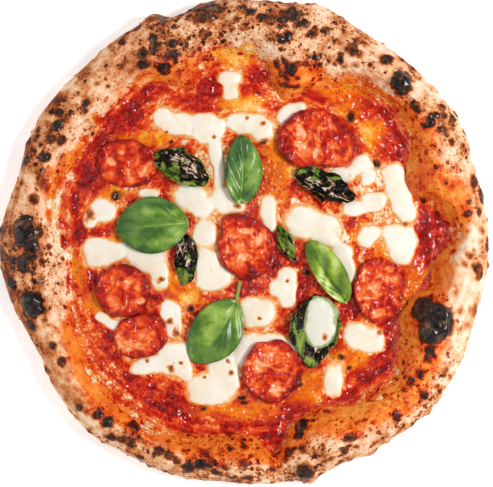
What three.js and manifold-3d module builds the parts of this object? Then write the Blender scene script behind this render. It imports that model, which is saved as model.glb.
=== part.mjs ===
// A twelve-inch pizza from a wood oven: a puffed dough rim round a thin base, tomato sauce, melted
// mozzarella, slices of soft spiced sausage, fresh basil and basil that was baked in the oven.
// Millimetres, +Z up. The origin is the middle of the flat underside, and +Y is the far side.
import * as THREE from "three";
import Module from "manifold-3d";

const wasm = await Module();
wasm.setup();
const { Manifold, Mesh } = wasm;

// ---- Driving dimensions ----
const PIZZA_RADIUS = 151.8; // to the widest line of the rim
const FOOT_RADIUS = 117; // where the rim rises out of the sauce
const CREST_HEIGHT = 20; // top of the rim above the table
const CREST_SHARE = 0.56; // where the crest lies, from the foot (0) to the edge (1)
const BELLY_SHARE = 0.42; // height of the rim's widest line, as a share of the crest's
const INNER_CURVE = 1.3; // 1 makes the rim rise steeply out of the sauce, 2 makes it rise gently
const SOLE_INSET = 12; // the flat underside ends this far inside the edge
const BASE_THICKNESS = 3.5;
const SAUCE_THICKNESS = 1.7;
const SAUCE_EDGE = 0.4; // thickness where the sauce runs out at the foot
const SAUCE_RIPPLE = 0.14; // under the toppings
const SAUCE_LUMPS = 0.45; // in the bare ring near the rim
const LUMPS_FROM = 98; // radius at which the bare ring begins
const GAP = 0.3; // air between pieces that touch
const UNDERSIDE_GAP = 0.36; // the same, under a piece whose facets are larger than the sauce's
const SAUCE_CLEARANCE = 0.12; // the least air that is left over the sauce
const CHEESE_RISE = 1.9;
const SLICE_THICKNESS = 2.9;
const LEAF_THICKNESS = 0.8;
const WILTED_THICKNESS = 1.0;

// ---- Mesh fineness ----
const BEARINGS = 96; // steps round the rim
const UNDER_STEPS = 3;
const OUTER_STEPS = 4;
const INNER_STEPS = 5;
const BASE_RINGS = 3; // under the sauce
const SAUCE_RINGS = 13;
const OUTLINE_STEP = 4; // length of a topping's side facet
const LEAF_STATIONS = 10; // along a leaf
const LEAF_COLUMNS = 5; // across a leaf

// ---- The rim's unevenness: [bearing in degrees from +X, size in mm, half-width in degrees] ----
const EDGE_SWELLS = [
  [17, -1.6, 6], [31, 2.4, 8], [72, 4, 8], [96, 2, 7], [107, -2.4, 4], [112.5, 4.5, 2.4], [133, -1.2, 12],
  [164, -3, 7], [183, 2, 12], [206, -4.8, 11], [231, 1.8, 8], [268, -1.8, 9], [285, 4.2, 2.4], [294, -1, 4],
  [300.5, 2.6, 2.4], [320, 4, 11], [346, -1.6, 5],
];
const FOOT_SWELLS = [
  [4, 10, 7], [20, -12, 9], [43, 4, 10], [63, -6, 5], [75, -25, 8], [98, 2, 4], [110, -15, 8], [138, -1, 12],
  [159, 2, 5], [186, -8, 10], [224, 4, 12], [246, 9, 16], [278, 14, 4], [292, -8, 9], [317, 6, 5],
  [335, -12, 12],
];
const CREST_SWELLS = [
  [15, 1.5, 10], [48, 2.5, 14], [62, -2, 5], [84, 3, 12], [97, -3.5, 3], [112, 3, 9], [140, -1.5, 10],
  [178, 2.5, 12], [198, -2, 6], [222, 1, 10], [258, 2.5, 12], [278, -5, 4], [298, 3.5, 12],
  [320, -1.5, 6], [337, 4.5, 9], [352, 2, 8],
];
// Blisters that stand out of the rim: [x, y, radius, rise].
const BLISTERS = [
  [28, 103, 13, 5.5], [113, -47, 15, 5], [-39, 96, 9, 5], [-52, 108, 6, 3], [-104, 52, 10, 4],
  [-106, -43, 9, 4], [-138, 8, 9, 2.5], [-134, -37, 8, 3], [50, -118, 17, 3.5], [-8, -130, 15, 3],
  [127, -14, 11, 3.5], [110, 42, 13, 3], [37, -143, 7, 4], [96, 99, 7, 3], [65, 120, 5, 2.5],
  [-60, 138, 7, 3.5], [65, -120, 6, 2], [-118, 66, 6, 2], [145, -17, 5, 2], [105, 84, 5, 2],
];

// ---- Toppings: a lobe is [x, y, half-length, half-width, turn in degrees] ----
const MOZZARELLA = [
  { lobes: [[-10, 104, 8.5, 5, 0], [-9.5, 95, 5.5, 5.5, 0]] },
  { lobes: [[-48, 76.5, 11.5, 8.5, -6], [-41, 75, 8, 7, 0]] },
  { lobes: [[-25, 72.5, 9.5, 9.5, 0], [-18, 72, 5, 6, 0]] },
  { lobes: [[-19, 58, 4.5, 9, 0], [-17, 44, 3.5, 9, 0]] },
  { lobes: [[-3, 76, 9.5, 7.5, 0], [11, 71, 8, 9, -20]] },
  { lobes: [[26, 80, 7.5, 6.5, 40], [33, 85, 5, 3.5, 20]] },
  { lobes: [[-36, 29, 12, 10.5, 0], [-28, 22, 7, 6, 0]] },
  { lobes: [[-13, 27, 9, 8.5, 0], [-4, 23, 5, 4, 0]] },
  { lobes: [[-26, 6.5, 8.2, 9.5, 0]] },
  { lobes: [[-25, -10, 7.5, 7, 0], [-21, -21, 10.5, 9.5, 0]] },
  { lobes: [[14, 22, 6, 10, 0], [15, 12, 4, 5, 0]] },
  { lobes: [[33, 14, 11, 11, 0], [48, 9, 12, 10, -15]] },
  { lobes: [[77, 5, 7.5, 8, 0]] },
  { lobes: [[96, 3, 10.5, 10.5, 0], [98, -7, 7.5, 7, 0]] },
  { lobes: [[93, 42, 7, 10, 10], [97, 28, 7.5, 12, 12], [101, 19, 6, 6, 0]] },
  { lobes: [[61, 43, 8, 5.5, 0], [72, 49, 8, 6, 30], [77, 41, 5, 5, 0]] },
  { lobes: [[80, 26, 9.5, 6.5, 0], [67, 22, 7, 5, 10]] },
  { lobes: [[60, -9, 8, 8, 0], [65, -18, 4, 7, 0]] },
  { lobes: [[26, -22, 6.5, 7, 0], [20, -28, 5.5, 5, 0], [26, -33, 5.5, 7, 0]] },
  { lobes: [[7, -43, 11, 10.5, 0]] },
  { lobes: [[15, -66, 19, 9.5, -8], [-2, -70, 5, 9, 0], [32, -68, 6, 7, -40]] },
  { lobes: [[-23, -91, 15, 11, 5], [-15, -73, 9, 11, 0], [-9, -84, 5, 9, 0]] },
  { lobes: [[-60, -76, 13, 5.5, 8], [-45, -72, 10, 11, 0], [-38, -81, 5, 5, 0]] },
  { lobes: [[-47, -42, 6.5, 7.5, 0], [-46, -53, 5.5, 6.5, 0]] },
  { lobes: [[-92, -6, 10.5, 10, 0], [-81, -4, 7, 6, 0]] },
  { lobes: [[-63, -9, 13, 9, -8], [-54, -21, 6, 8.5, 0]] },
  { lobes: [[-90, 21, 8.5, 8.5, 0], [-98, 14, 4.5, 5, 0]] },
  { lobes: [[-61, 31, 7, 4, 0]] },
  { lobes: [[-90, -47, 5.5, 3.8, -30], [-83, -51, 5.5, 3.5, -20]] },
  { lobes: [[55, -85, 7.5, 13.5, 0]] },
  { lobes: [[70, -57, 9.5, 9.5, 0], [80, -60, 8.5, 9, 0]] },
];
// A last piece of mozzarella lies in the hollow of a baked leaf, higher than the others.
const MOZZARELLA_IN_LEAF = { lobes: [[47, -46, 9, 11.5, 0], [45, -57, 8.5, 8, 0]], lift: 2.2 };
const SLICES = [
  { lobes: [[-75, 50.5, 18.5, 15.5, -5]], lift: 0.3 },
  { lobes: [[41, 66, 21, 17.5, 5], [58, 60, 12, 11, 0]], lift: 1.4 },
  { lobes: [[1, -3, 17.5, 19, 0], [-8, 11, 6.5, 6.5, 0]], lift: 0.7 },
  { lobes: [[83, -29, 15, 20, 0]], lift: 0.7 },
  { lobes: [[16, -80, 18, 19.2, 0]], lift: 1.6 },
  { lobes: [[-66, -58, 17, 13.5, 12]], lift: 0.2 },
  { lobes: [[-77, -29.5, 16.5, 16, 0]], lift: 1.6 },
];
// A leaf runs from base to tip. Its halves are the widths to the left and right of the midrib, looking
// from the base. skew below 1 puts the widest place nearer the base, and a low bluntness fills out the
// ends. bend bows the midrib sideways, arch lifts its middle, and fold lifts the halves or drops them.
// One leaf still has its stalk, which runs from the base to stalkEnd.
const WILTED_LEAVES = [
  { base: [-57, 55], tip: [-23.5, 39], halves: [9, 11], skew: 1, bluntness: 0.5, bend: 2, fold: 0.12,
    arch: 2.2, ripple: 1.1 },
  { base: [31, 46], tip: [68, 29], halves: [9, 10], skew: 0.9, bluntness: 0.6, bend: -1, fold: 0.1,
    arch: 2.2, ripple: 1.3 },
  { base: [-38, 5], tip: [-39, -27], halves: [6.5, 8], skew: 0.92, bluntness: 0.7, bend: 1.5, fold: 0.1,
    arch: 1.6, ripple: 1 },
  { base: [21, 11], tip: [31, -10.5], halves: [6, 4.5], skew: 0.92, bluntness: 0.7, bend: -2, fold: 0.1,
    arch: 1.2, ripple: 0.8 },
  { base: [44, -31], tip: [41, -77.5], halves: [15.5, 14.5], skew: 1, bluntness: 0.6, bend: 0, fold: 0.16,
    arch: 0, ripple: 0.5 },
];
const LEAVES = [
  { base: [-35.7, 13], tip: [-81.6, 9], halves: [17.5, 18.5], skew: 1, bluntness: 0.6, bend: 0, fold: -0.14,
    arch: 3.2 },
  { base: [-3, 27.5], tip: [-3, 68.2], halves: [11, 12.5], skew: 0.8, bluntness: 0.58, bend: -1, fold: 0.16,
    arch: 2.6 },
  { base: [-6, -36], tip: [-33, -74.5], halves: [14, 18], skew: 1, bluntness: 0.56, bend: 3, fold: -0.06,
    arch: 3.4, stalkEnd: [-3.6, -23.5] },
  { base: [63, -37], tip: [38.5, 1], halves: [6, 10.5], skew: 1, bluntness: 0.36, bend: 1.5, fold: 0.24,
    arch: 3 },
];

// ---- Shared shape functions ----
const radians = THREE.MathUtils.degToRad;
const smoothstep = THREE.MathUtils.smoothstep;

// Sum of the bell-shaped swells of a list at one bearing.
function swell(list, bearing) {
  return list.reduce((sum, [at, size, spread]) => {
    const turn = ((bearing - at + 540) % 360) - 180;
    return sum + size * Math.exp(-((turn / spread) ** 2));
  }, 0);
}

// The rim's cross-section at one bearing.
function rimAt(bearing) {
  const edge = PIZZA_RADIUS + swell(EDGE_SWELLS, bearing);
  const foot = FOOT_RADIUS + swell(FOOT_SWELLS, bearing);
  const height = CREST_HEIGHT + swell(CREST_SWELLS, bearing);
  const crest = foot + (edge - foot) * CREST_SHARE;
  return { edge, foot, height, crest, sole: edge - SOLE_INSET, belly: height * BELLY_SHARE };
}

function footAt(x, y) {
  const bearing = (THREE.MathUtils.radToDeg(Math.atan2(y, x)) + 360) % 360;
  return rimAt(bearing).foot;
}

// Height that the blisters add at a point of the rim.
function blisterRise(x, y) {
  return BLISTERS.reduce((sum, [cx, cy, radius, rise]) => {
    const share = Math.hypot(x - cx, y - cy) / radius;
    return sum + rise * Math.exp(-(share ** 4));
  }, 0);
}

// The sauce's top: even under the toppings, lumpy in the bare ring, and thin at the foot of the rim.
function sauceTop(x, y) {
  const radius = Math.hypot(x, y);
  const share = Math.min(1, radius / footAt(x, y));
  const wave = Math.sin(0.23 * x + 0.7) * Math.cos(0.27 * y - 0.4) + 0.6 * Math.sin(0.21 * (x + y) + 1.9);
  const ripple = SAUCE_RIPPLE + SAUCE_LUMPS * smoothstep(radius, LUMPS_FROM, LUMPS_FROM + 10);
  const depth = SAUCE_EDGE + (SAUCE_THICKNESS - SAUCE_EDGE + ripple * wave) * (1 - share ** 10);
  return BASE_THICKNESS + GAP + depth;
}

// A closed skin over rings of points, each ring going the same way round, with a lone point at each end.
function skinOf(first, rings, last) {
  const points = [first, ...rings.flat(), last];
  const count = rings[0].length;
  const at = (ring, step) => 1 + ring * count + (step % count);
  const index = [];
  for (let step = 0; step < count; step++) {
    index.push(0, at(0, step + 1), at(0, step));
    for (let ring = 0; ring < rings.length - 1; ring++) {
      const [a, b, c, d] = [at(ring, step), at(ring, step + 1), at(ring + 1, step + 1), at(ring + 1, step)];
      index.push(a, b, c, a, c, d);
    }
    index.push(at(rings.length - 1, step), at(rings.length - 1, step + 1), points.length - 1);
  }
  return new THREE.BufferGeometry().setFromPoints(points).setIndex(index);
}

// ---- Solids, for cutting one piece clear of another ----
function solidOf(geometry) {
  const vertProperties = geometry.attributes.position.array;
  const triVerts = new Uint32Array(geometry.index.array);
  return new Manifold(new Mesh({ numProp: 3, vertProperties, triVerts }));
}

function geometryOf(solid) {
  const { vertProperties, triVerts } = solid.getMesh();
  return new THREE.BufferGeometry()
    .setAttribute("position", new THREE.BufferAttribute(vertProperties, 3))
    .setIndex(new THREE.BufferAttribute(triVerts, 1));
}

// The largest of the bodies that a cut leaves.
function largestBody(solid) {
  return solid.decompose().reduce((most, body) => (body.volume() > most.volume() ? body : most));
}

const pizza = new THREE.Group();

function addPiece(name, geometry, finish) {
  const material = new THREE.MeshStandardMaterial({ metalness: 0, ...finish });
  geometry.computeVertexNormals();
  const mesh = new THREE.Mesh(geometry, material);
  mesh.name = name;
  pizza.add(mesh);
}

// ---- Dough: one baked piece, from the middle of the sole round the rim to the middle of the base ----
function crustRings() {
  const places = []; // each is a function from a rim section to a [radius, height, blister share]
  places.push((rim) => [rim.sole * 0.5, 0, 0]);
  for (let step = 0; step <= UNDER_STEPS; step++) {
    const turn = (step / UNDER_STEPS) * (Math.PI / 2);
    places.push((rim) => [
      rim.sole + (rim.edge - rim.sole) * Math.sin(turn), rim.belly * (1 - Math.cos(turn)), 0,
    ]);
  }
  for (let step = 1; step <= OUTER_STEPS; step++) {
    const turn = (step / OUTER_STEPS) * (Math.PI / 2);
    places.push((rim) => [
      rim.crest + (rim.edge - rim.crest) * Math.cos(turn),
      rim.belly + (rim.height - rim.belly) * Math.sin(turn),
      Math.sin(turn),
    ]);
  }
  for (let step = INNER_STEPS - 1; step >= 0; step--) {
    const share = step / INNER_STEPS;
    places.push((rim) => [
      rim.foot + (rim.crest - rim.foot) * share,
      BASE_THICKNESS + (rim.height - BASE_THICKNESS) * Math.sin((share * Math.PI) / 2) ** INNER_CURVE,
      smoothstep(share, 0, 0.25),
    ]);
  }
  for (let ring = BASE_RINGS - 1; ring >= 1; ring--) {
    places.push((rim) => [(rim.foot * ring) / BASE_RINGS, BASE_THICKNESS, 0]);
  }
  return places.map((place) =>
    Array.from({ length: BEARINGS }, (_, step) => {
      const bearing = (step * 360) / BEARINGS;
      const [radius, height, blistered] = place(rimAt(bearing));
      const x = radius * Math.cos(radians(bearing));
      const y = radius * Math.sin(radians(bearing));
      return new THREE.Vector3(x, y, height + blistered * blisterRise(x, y));
    }),
  );
}

const crust = skinOf(new THREE.Vector3(0, 0, 0), crustRings(), new THREE.Vector3(0, 0, BASE_THICKNESS));
addPiece("crust", crust, { color: 0xe0b184, roughness: 0.85 });

// ---- Tomato sauce: a sheet from its underside on the base, out to the foot of the rim and back ----
function sauceRing(share, heightAt) {
  return Array.from({ length: BEARINGS }, (_, step) => {
    const bearing = (step * 360) / BEARINGS;
    const radius = rimAt(bearing).foot * share;
    const x = radius * Math.cos(radians(bearing));
    const y = radius * Math.sin(radians(bearing));
    return new THREE.Vector3(x, y, heightAt(x, y));
  });
}

function sauceRings() {
  const rings = [];
  for (let ring = 1; ring <= BASE_RINGS; ring++) {
    rings.push(sauceRing(ring / BASE_RINGS, () => BASE_THICKNESS + GAP));
  }
  for (let ring = SAUCE_RINGS; ring >= 1; ring--) rings.push(sauceRing(ring / SAUCE_RINGS, sauceTop));
  return rings;
}

const sauceBottom = new THREE.Vector3(0, 0, BASE_THICKNESS + GAP);
const sauce = skinOf(sauceBottom, sauceRings(), new THREE.Vector3(0, 0, sauceTop(0, 0)));
addPiece("tomato_sauce", sauce, { color: 0xc2321a, roughness: 0.35 });

// What later pieces have to stay clear of: the sauce and the rim lifted a little, and grown toppings.
const lifted = (geometry) => solidOf(geometry.clone().translate(0, 0, SAUCE_CLEARANCE));
let below = lifted(sauce).add(lifted(crust));

function isClear(solid) {
  return below.intersect(solid).isEmpty();
}

// ---- Toppings that melt or settle onto the sauce: a domed disc whose underside follows the sauce ----
// How strongly the lobes fill a point: 1 on the outline, more inside. Lobes that meet flow together.
function fullness(lobes, x, y) {
  return lobes.reduce((sum, [cx, cy, length, width, turn]) => {
    const [dx, dy] = [x - cx, y - cy];
    const [cos, sin] = [Math.cos(radians(turn)), Math.sin(radians(turn))];
    const squares = ((dx * cos + dy * sin) / length) ** 2 + ((dy * cos - dx * sin) / width) ** 2;
    return sum + Math.exp(2.2 * (1 - squares));
  }, 0);
}

function middleOf(lobes) {
  const weights = lobes.map(([, , length, width]) => length * width);
  const total = weights.reduce((a, b) => a + b);
  return [0, 1].map((axis) => lobes.reduce((sum, lobe, i) => sum + (lobe[axis] * weights[i]) / total, 0));
}

// Distance from the middle to the outline in one direction, by halving.
function reach(lobes, [cx, cy], turn) {
  let [inside, outside] = [0, 60];
  while (outside - inside > 0.01) {
    const radius = (inside + outside) / 2;
    if (fullness(lobes, cx + radius * Math.cos(turn), cy + radius * Math.sin(turn)) > 1) inside = radius;
    else outside = radius;
  }
  return inside;
}

// profile is a list of [share of the reach, height over the underside], from the edge to the middle.
function discOf({ lobes, lift = 0 }, profile, grow) {
  const middle = middleOf(lobes);
  const quarters = [0, 1, 2, 3].map((quarter) => reach(lobes, middle, (quarter * Math.PI) / 2));
  const meanRadius = quarters.reduce((sum, radius) => sum + radius / 4, 0);
  const sides = Math.round((2 * Math.PI * meanRadius) / OUTLINE_STEP);
  const ring = (share, height) =>
    Array.from({ length: sides }, (_, step) => {
      const turn = (step * 2 * Math.PI) / sides;
      const radius = (reach(lobes, middle, turn) + grow) * share;
      const [x, y] = [middle[0] + radius * Math.cos(turn), middle[1] + radius * Math.sin(turn)];
      return new THREE.Vector3(x, y, sauceTop(x, y) + UNDERSIDE_GAP + height);
    });
  const upper = profile.slice(0, -1).map(([share, height]) => ring(share, lift + height + grow));
  const rings = [ring(1, -grow), ...upper];
  const level = sauceTop(...middle) + UNDERSIDE_GAP;
  const top = new THREE.Vector3(...middle, level + lift + profile.at(-1)[1] + grow);
  return skinOf(new THREE.Vector3(...middle, level - grow), rings, top);
}

// Adds a topping, cut clear of what lies below and beside it, and makes it part of what is below.
function settle(name, topping, profile, finish) {
  const own = solidOf(discOf(topping, profile, 0));
  const cut = isClear(own) ? own : largestBody(own.subtract(below).simplify(0.02));
  below = below.add(solidOf(discOf(topping, profile, GAP)));
  addPiece(name, geometryOf(cut), finish);
}

const cheeseProfile = [[1, 0.45], [0.76, 0.82 * CHEESE_RISE], [0, CHEESE_RISE]];
const cheeseFinish = { color: 0xf3ece0, roughness: 0.4 };
MOZZARELLA.forEach((piece, i) => {
  settle(`mozzarella_${String(i + 1).padStart(2, "0")}`, piece, cheeseProfile, cheeseFinish);
});

// Sausage: the rim of a baked slice stands a little higher than its middle.
const sliceProfile = [
  [1.02, 0.45 * SLICE_THICKNESS], [0.97, 0.9 * SLICE_THICKNESS], [0.86, SLICE_THICKNESS],
  [0.55, 0.86 * SLICE_THICKNESS], [0, 0.84 * SLICE_THICKNESS],
];
SLICES.forEach((slice, i) => {
  settle(`nduja_slice_${i + 1}`, slice, sliceProfile, { color: 0xc8321f, roughness: 0.35 });
});

// ---- Basil: a thin wavy blade, lowered from above until it would touch what lies below ----
// Half-width of a blade at a share of its length, as a share of its widest.
function bladeWidth({ skew, bluntness }, share) {
  return Math.max(0.07, Math.sin(Math.PI * share ** skew) ** bluntness);
}

function leafOf(leaf, thickness, level, grow) {
  const { base, tip, halves, bend, fold, arch, ripple = 0, stalkEnd } = leaf;
  const from = new THREE.Vector2(...base);
  const along = new THREE.Vector2(...tip).sub(from);
  const length = along.length();
  const across = new THREE.Vector2(-along.y, along.x).divideScalar(length);
  const crossing = (share) => {
    const blade = share >= 0;
    const middle = from.clone();
    if (blade) middle.addScaledVector(along, share).addScaledVector(across, 4 * bend * share * (1 - share));
    else middle.lerp(new THREE.Vector2(...stalkEnd), -share);
    const wide = blade ? bladeWidth(leaf, share) : 0.07;
    const upper = [];
    const lower = [];
    for (let column = 0; column < LEAF_COLUMNS; column++) {
      const side = 1 - (2 * column) / (LEAF_COLUMNS - 1);
      const frill = 1 + 0.16 * Math.sign(ripple) * Math.sin(9 * share + 2 * side);
      const reached = side * wide * frill * halves[side > 0 ? 0 : 1] + grow * Math.sign(side);
      const crinkle = ripple * Math.sin(11 * share + 2.5 * side) * Math.cos(3 * side + 4 * share);
      const bow = arch * Math.sin(Math.PI * Math.max(0, share));
      const rise = level + bow + crinkle + fold * Math.abs(reached);
      const point = middle.clone().addScaledVector(across, reached);
      upper.push(new THREE.Vector3(point.x, point.y, rise + thickness + grow));
      lower.unshift(new THREE.Vector3(point.x, point.y, rise - grow));
    }
    return [...upper, ...lower];
  };
  const shares = Array.from({ length: LEAF_STATIONS }, (_, i) => 0.02 + (0.96 * i) / (LEAF_STATIONS - 1));
  if (stalkEnd) shares.unshift(-1, -0.5);
  const rings = shares.map(crossing);
  const middleOfRing = (ring) =>
    ring.reduce((sum, p) => sum.add(p), new THREE.Vector3()).divideScalar(ring.length);
  const beyond = along.clone().multiplyScalar(0.02 + grow / length);
  const first = middleOfRing(rings[0]).sub(new THREE.Vector3(beyond.x, beyond.y, 0));
  const last = middleOfRing(rings.at(-1)).add(new THREE.Vector3(beyond.x, beyond.y, 0));
  return skinOf(first, rings, last);
}

function layLeaf(name, leaf, thickness, finish) {
  const highest = BASE_THICKNESS + 16;
  const step = 0.15;
  let level = highest;
  while (isClear(solidOf(leafOf(leaf, thickness, level - step, 0)))) level -= step;
  addPiece(name, leafOf(leaf, thickness, level, 0), finish);
  below = below.add(solidOf(leafOf(leaf, thickness, level, GAP)));
}

WILTED_LEAVES.forEach((leaf, i) => {
  layLeaf(`wilted_basil_${i + 1}`, leaf, WILTED_THICKNESS, { color: 0x1f2a16, roughness: 0.35 });
});
settle("mozzarella_in_leaf", MOZZARELLA_IN_LEAF, cheeseProfile, cheeseFinish);
LEAVES.forEach((leaf, i) => {
  layLeaf(`basil_leaf_${i + 1}`, leaf, LEAF_THICKNESS, { color: 0x4b8a2c, roughness: 0.4 });
});

export default pizza;
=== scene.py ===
import itertools

import bpy
import numpy as np
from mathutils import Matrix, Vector


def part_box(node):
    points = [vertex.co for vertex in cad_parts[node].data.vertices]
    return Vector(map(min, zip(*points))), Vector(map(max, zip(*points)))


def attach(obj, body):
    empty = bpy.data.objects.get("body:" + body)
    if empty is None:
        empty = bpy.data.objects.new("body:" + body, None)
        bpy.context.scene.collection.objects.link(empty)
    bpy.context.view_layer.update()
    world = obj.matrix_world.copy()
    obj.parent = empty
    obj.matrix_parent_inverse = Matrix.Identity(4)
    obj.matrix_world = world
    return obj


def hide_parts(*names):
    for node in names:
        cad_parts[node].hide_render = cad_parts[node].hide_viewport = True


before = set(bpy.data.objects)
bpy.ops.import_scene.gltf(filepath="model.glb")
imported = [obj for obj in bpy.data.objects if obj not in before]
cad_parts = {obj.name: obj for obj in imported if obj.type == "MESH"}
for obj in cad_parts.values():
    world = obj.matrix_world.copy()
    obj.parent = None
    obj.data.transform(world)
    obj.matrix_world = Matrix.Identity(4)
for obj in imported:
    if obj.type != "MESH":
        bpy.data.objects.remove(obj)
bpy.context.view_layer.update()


# ---- Camera, light and floor ----
# The pizza is seen straight from above, with the far side at the top of the picture. A large soft light
# stands low on the right, a pale room fills the rest, and the floor is plain and nearly white.
CAMERA_HEIGHT = 1.35
PICTURE_WIDTH = 0.3094  # how much the picture takes in at the rim's widest line
WIDEST_LINE = 0.008
PICTURE_CENTRE = (0.0003, 0.0)
FLOOR_REACH = 1.5

camera = bpy.data.objects.new("overhead_camera", bpy.data.cameras.new("overhead_camera"))
camera.location = (*PICTURE_CENTRE, CAMERA_HEIGHT)
camera.data.lens = camera.data.sensor_width * (CAMERA_HEIGHT - WIDEST_LINE) / PICTURE_WIDTH
bpy.context.scene.collection.objects.link(camera)
bpy.context.scene.camera = camera


def soft_light(name, place, size, watts, colour):
    """A square light that faces the middle of the pizza."""
    light = bpy.data.objects.new(name, bpy.data.lights.new(name, "AREA"))
    light.data.size = size
    light.data.energy = watts
    light.data.color = colour
    light.location = place
    light.rotation_euler = (-Vector(place)).to_track_quat("-Z", "Y").to_euler()
    bpy.context.scene.collection.objects.link(light)


soft_light("window", (1.0, 0.05, 1.2), 0.4, 19.5, (1.0, 0.975, 0.94))
soft_light("far_panel", (-0.3, 1.3, 1.1), 1.7, 5.5, (1.0, 0.99, 0.96))
soft_light("near_panel", (0.3, -1.3, 1.0), 1.7, 6, (1.0, 0.98, 0.95))
soft_light("left_panel", (-1.3, -0.1, 0.9), 1.7, 11, (1.0, 0.99, 0.97))

room = bpy.data.worlds.new("pale_room")
room.use_nodes = True
glow = room.node_tree.nodes["Background"].inputs
glow["Color"].default_value = (0.98, 0.99, 1.0, 1)
glow["Strength"].default_value = 0.14
bpy.context.scene.world = room
bpy.context.scene.view_settings.view_transform = "Standard"

floor_mesh = bpy.data.meshes.new("floor")
floor_corners = [(x * FLOOR_REACH, y * FLOOR_REACH, 0) for x, y in ((-1, -1), (1, -1), (1, 1), (-1, 1))]
floor_mesh.from_pydata(floor_corners, [], [(0, 1, 2, 3)])
floor = bpy.data.objects.new("floor", floor_mesh)
floor_paint = bpy.data.materials.new("white_floor")
floor_paint.use_nodes = True
paint = floor_paint.node_tree.nodes["Principled BSDF"].inputs
paint["Base Color"].default_value = (0.95, 0.95, 0.95, 1)
paint["Emission Color"].default_value = (1, 1, 1, 1)
paint["Emission Strength"].default_value = 0.4
paint["Roughness"].default_value = 0.9
floor_mesh.materials.append(floor_paint)
bpy.context.scene.collection.objects.link(floor)


# ---- Crust ----
# The dough is baked into a thin base with a puffed rim. The rim is pale and floury outside, stained orange
# by the oil inside, and its blisters are toasted brown or burnt black. Lengths are in millimetres.
PIZZA_RADIUS = 151.8
FOOT_RADIUS = 117  # where the rim's inner slope starts
CREST_HEIGHT = 20
CREST_SHARE = 0.56  # of the way from the foot to the edge
BELLY_SHARE = 0.42  # height of the widest line, as a share of the crest's
INNER_CURVE = 1.3
SOLE_INSET = 12
BASE_THICKNESS = 3.5
# The rim's unevenness: [bearing in degrees from +X, size, half-width in degrees].
EDGE_SWELLS = [
    [17, -1.6, 6], [31, 2.4, 8], [72, 4, 8], [96, 2, 7], [107, -2.4, 4], [112.5, 4.5, 2.4], [133, -1.2, 12],
    [164, -3, 7], [183, 2, 12], [206, -4.8, 11], [231, 1.8, 8], [268, -1.8, 9], [285, 4.2, 2.4],
    [294, -1, 4], [300.5, 2.6, 2.4], [320, 4, 11], [346, -1.6, 5],
]
FOOT_SWELLS = [
    [4, 10, 7], [20, -12, 9], [43, 4, 10], [63, -6, 5], [75, -25, 8], [98, 2, 4], [110, -15, 8],
    [138, -1, 12], [159, 2, 5], [186, -8, 10], [224, 4, 12], [246, 9, 16], [278, 14, 4], [292, -8, 9],
    [317, 6, 5], [335, -12, 12],
]
CREST_SWELLS = [
    [15, 1.5, 10], [48, 2.5, 14], [62, -2, 5], [84, 3, 12], [97, -3.5, 3], [112, 3, 9], [140, -1.5, 10],
    [178, 2.5, 12], [198, -2, 6], [222, 1, 10], [258, 2.5, 12], [278, -5, 4], [298, 3.5, 12], [320, -1.5, 6],
    [337, 4.5, 9], [352, 2, 8],
]
# Blisters that stand out of the rim: [x, y, radius, rise].
BLISTERS = [
    [30, 103, 13, 7], [113, -47, 15, 5], [-39, 96, 9, 5], [-52, 108, 6, 3], [-104, 52, 10, 4],
    [-106, -43, 9, 4], [-138, 8, 9, 2.5], [-134, -37, 8, 3], [50, -118, 17, 3.5], [-8, -130, 15, 3],
    [127, -14, 11, 3.5], [110, 42, 13, 3], [37, -143, 7, 4], [96, 99, 7, 3], [65, 120, 5, 2.5],
    [-60, 138, 7, 3.5], [65, -120, 6, 2], [-118, 66, 6, 2], [145, -17, 5, 2], [105, 84, 5, 2],
]
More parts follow.
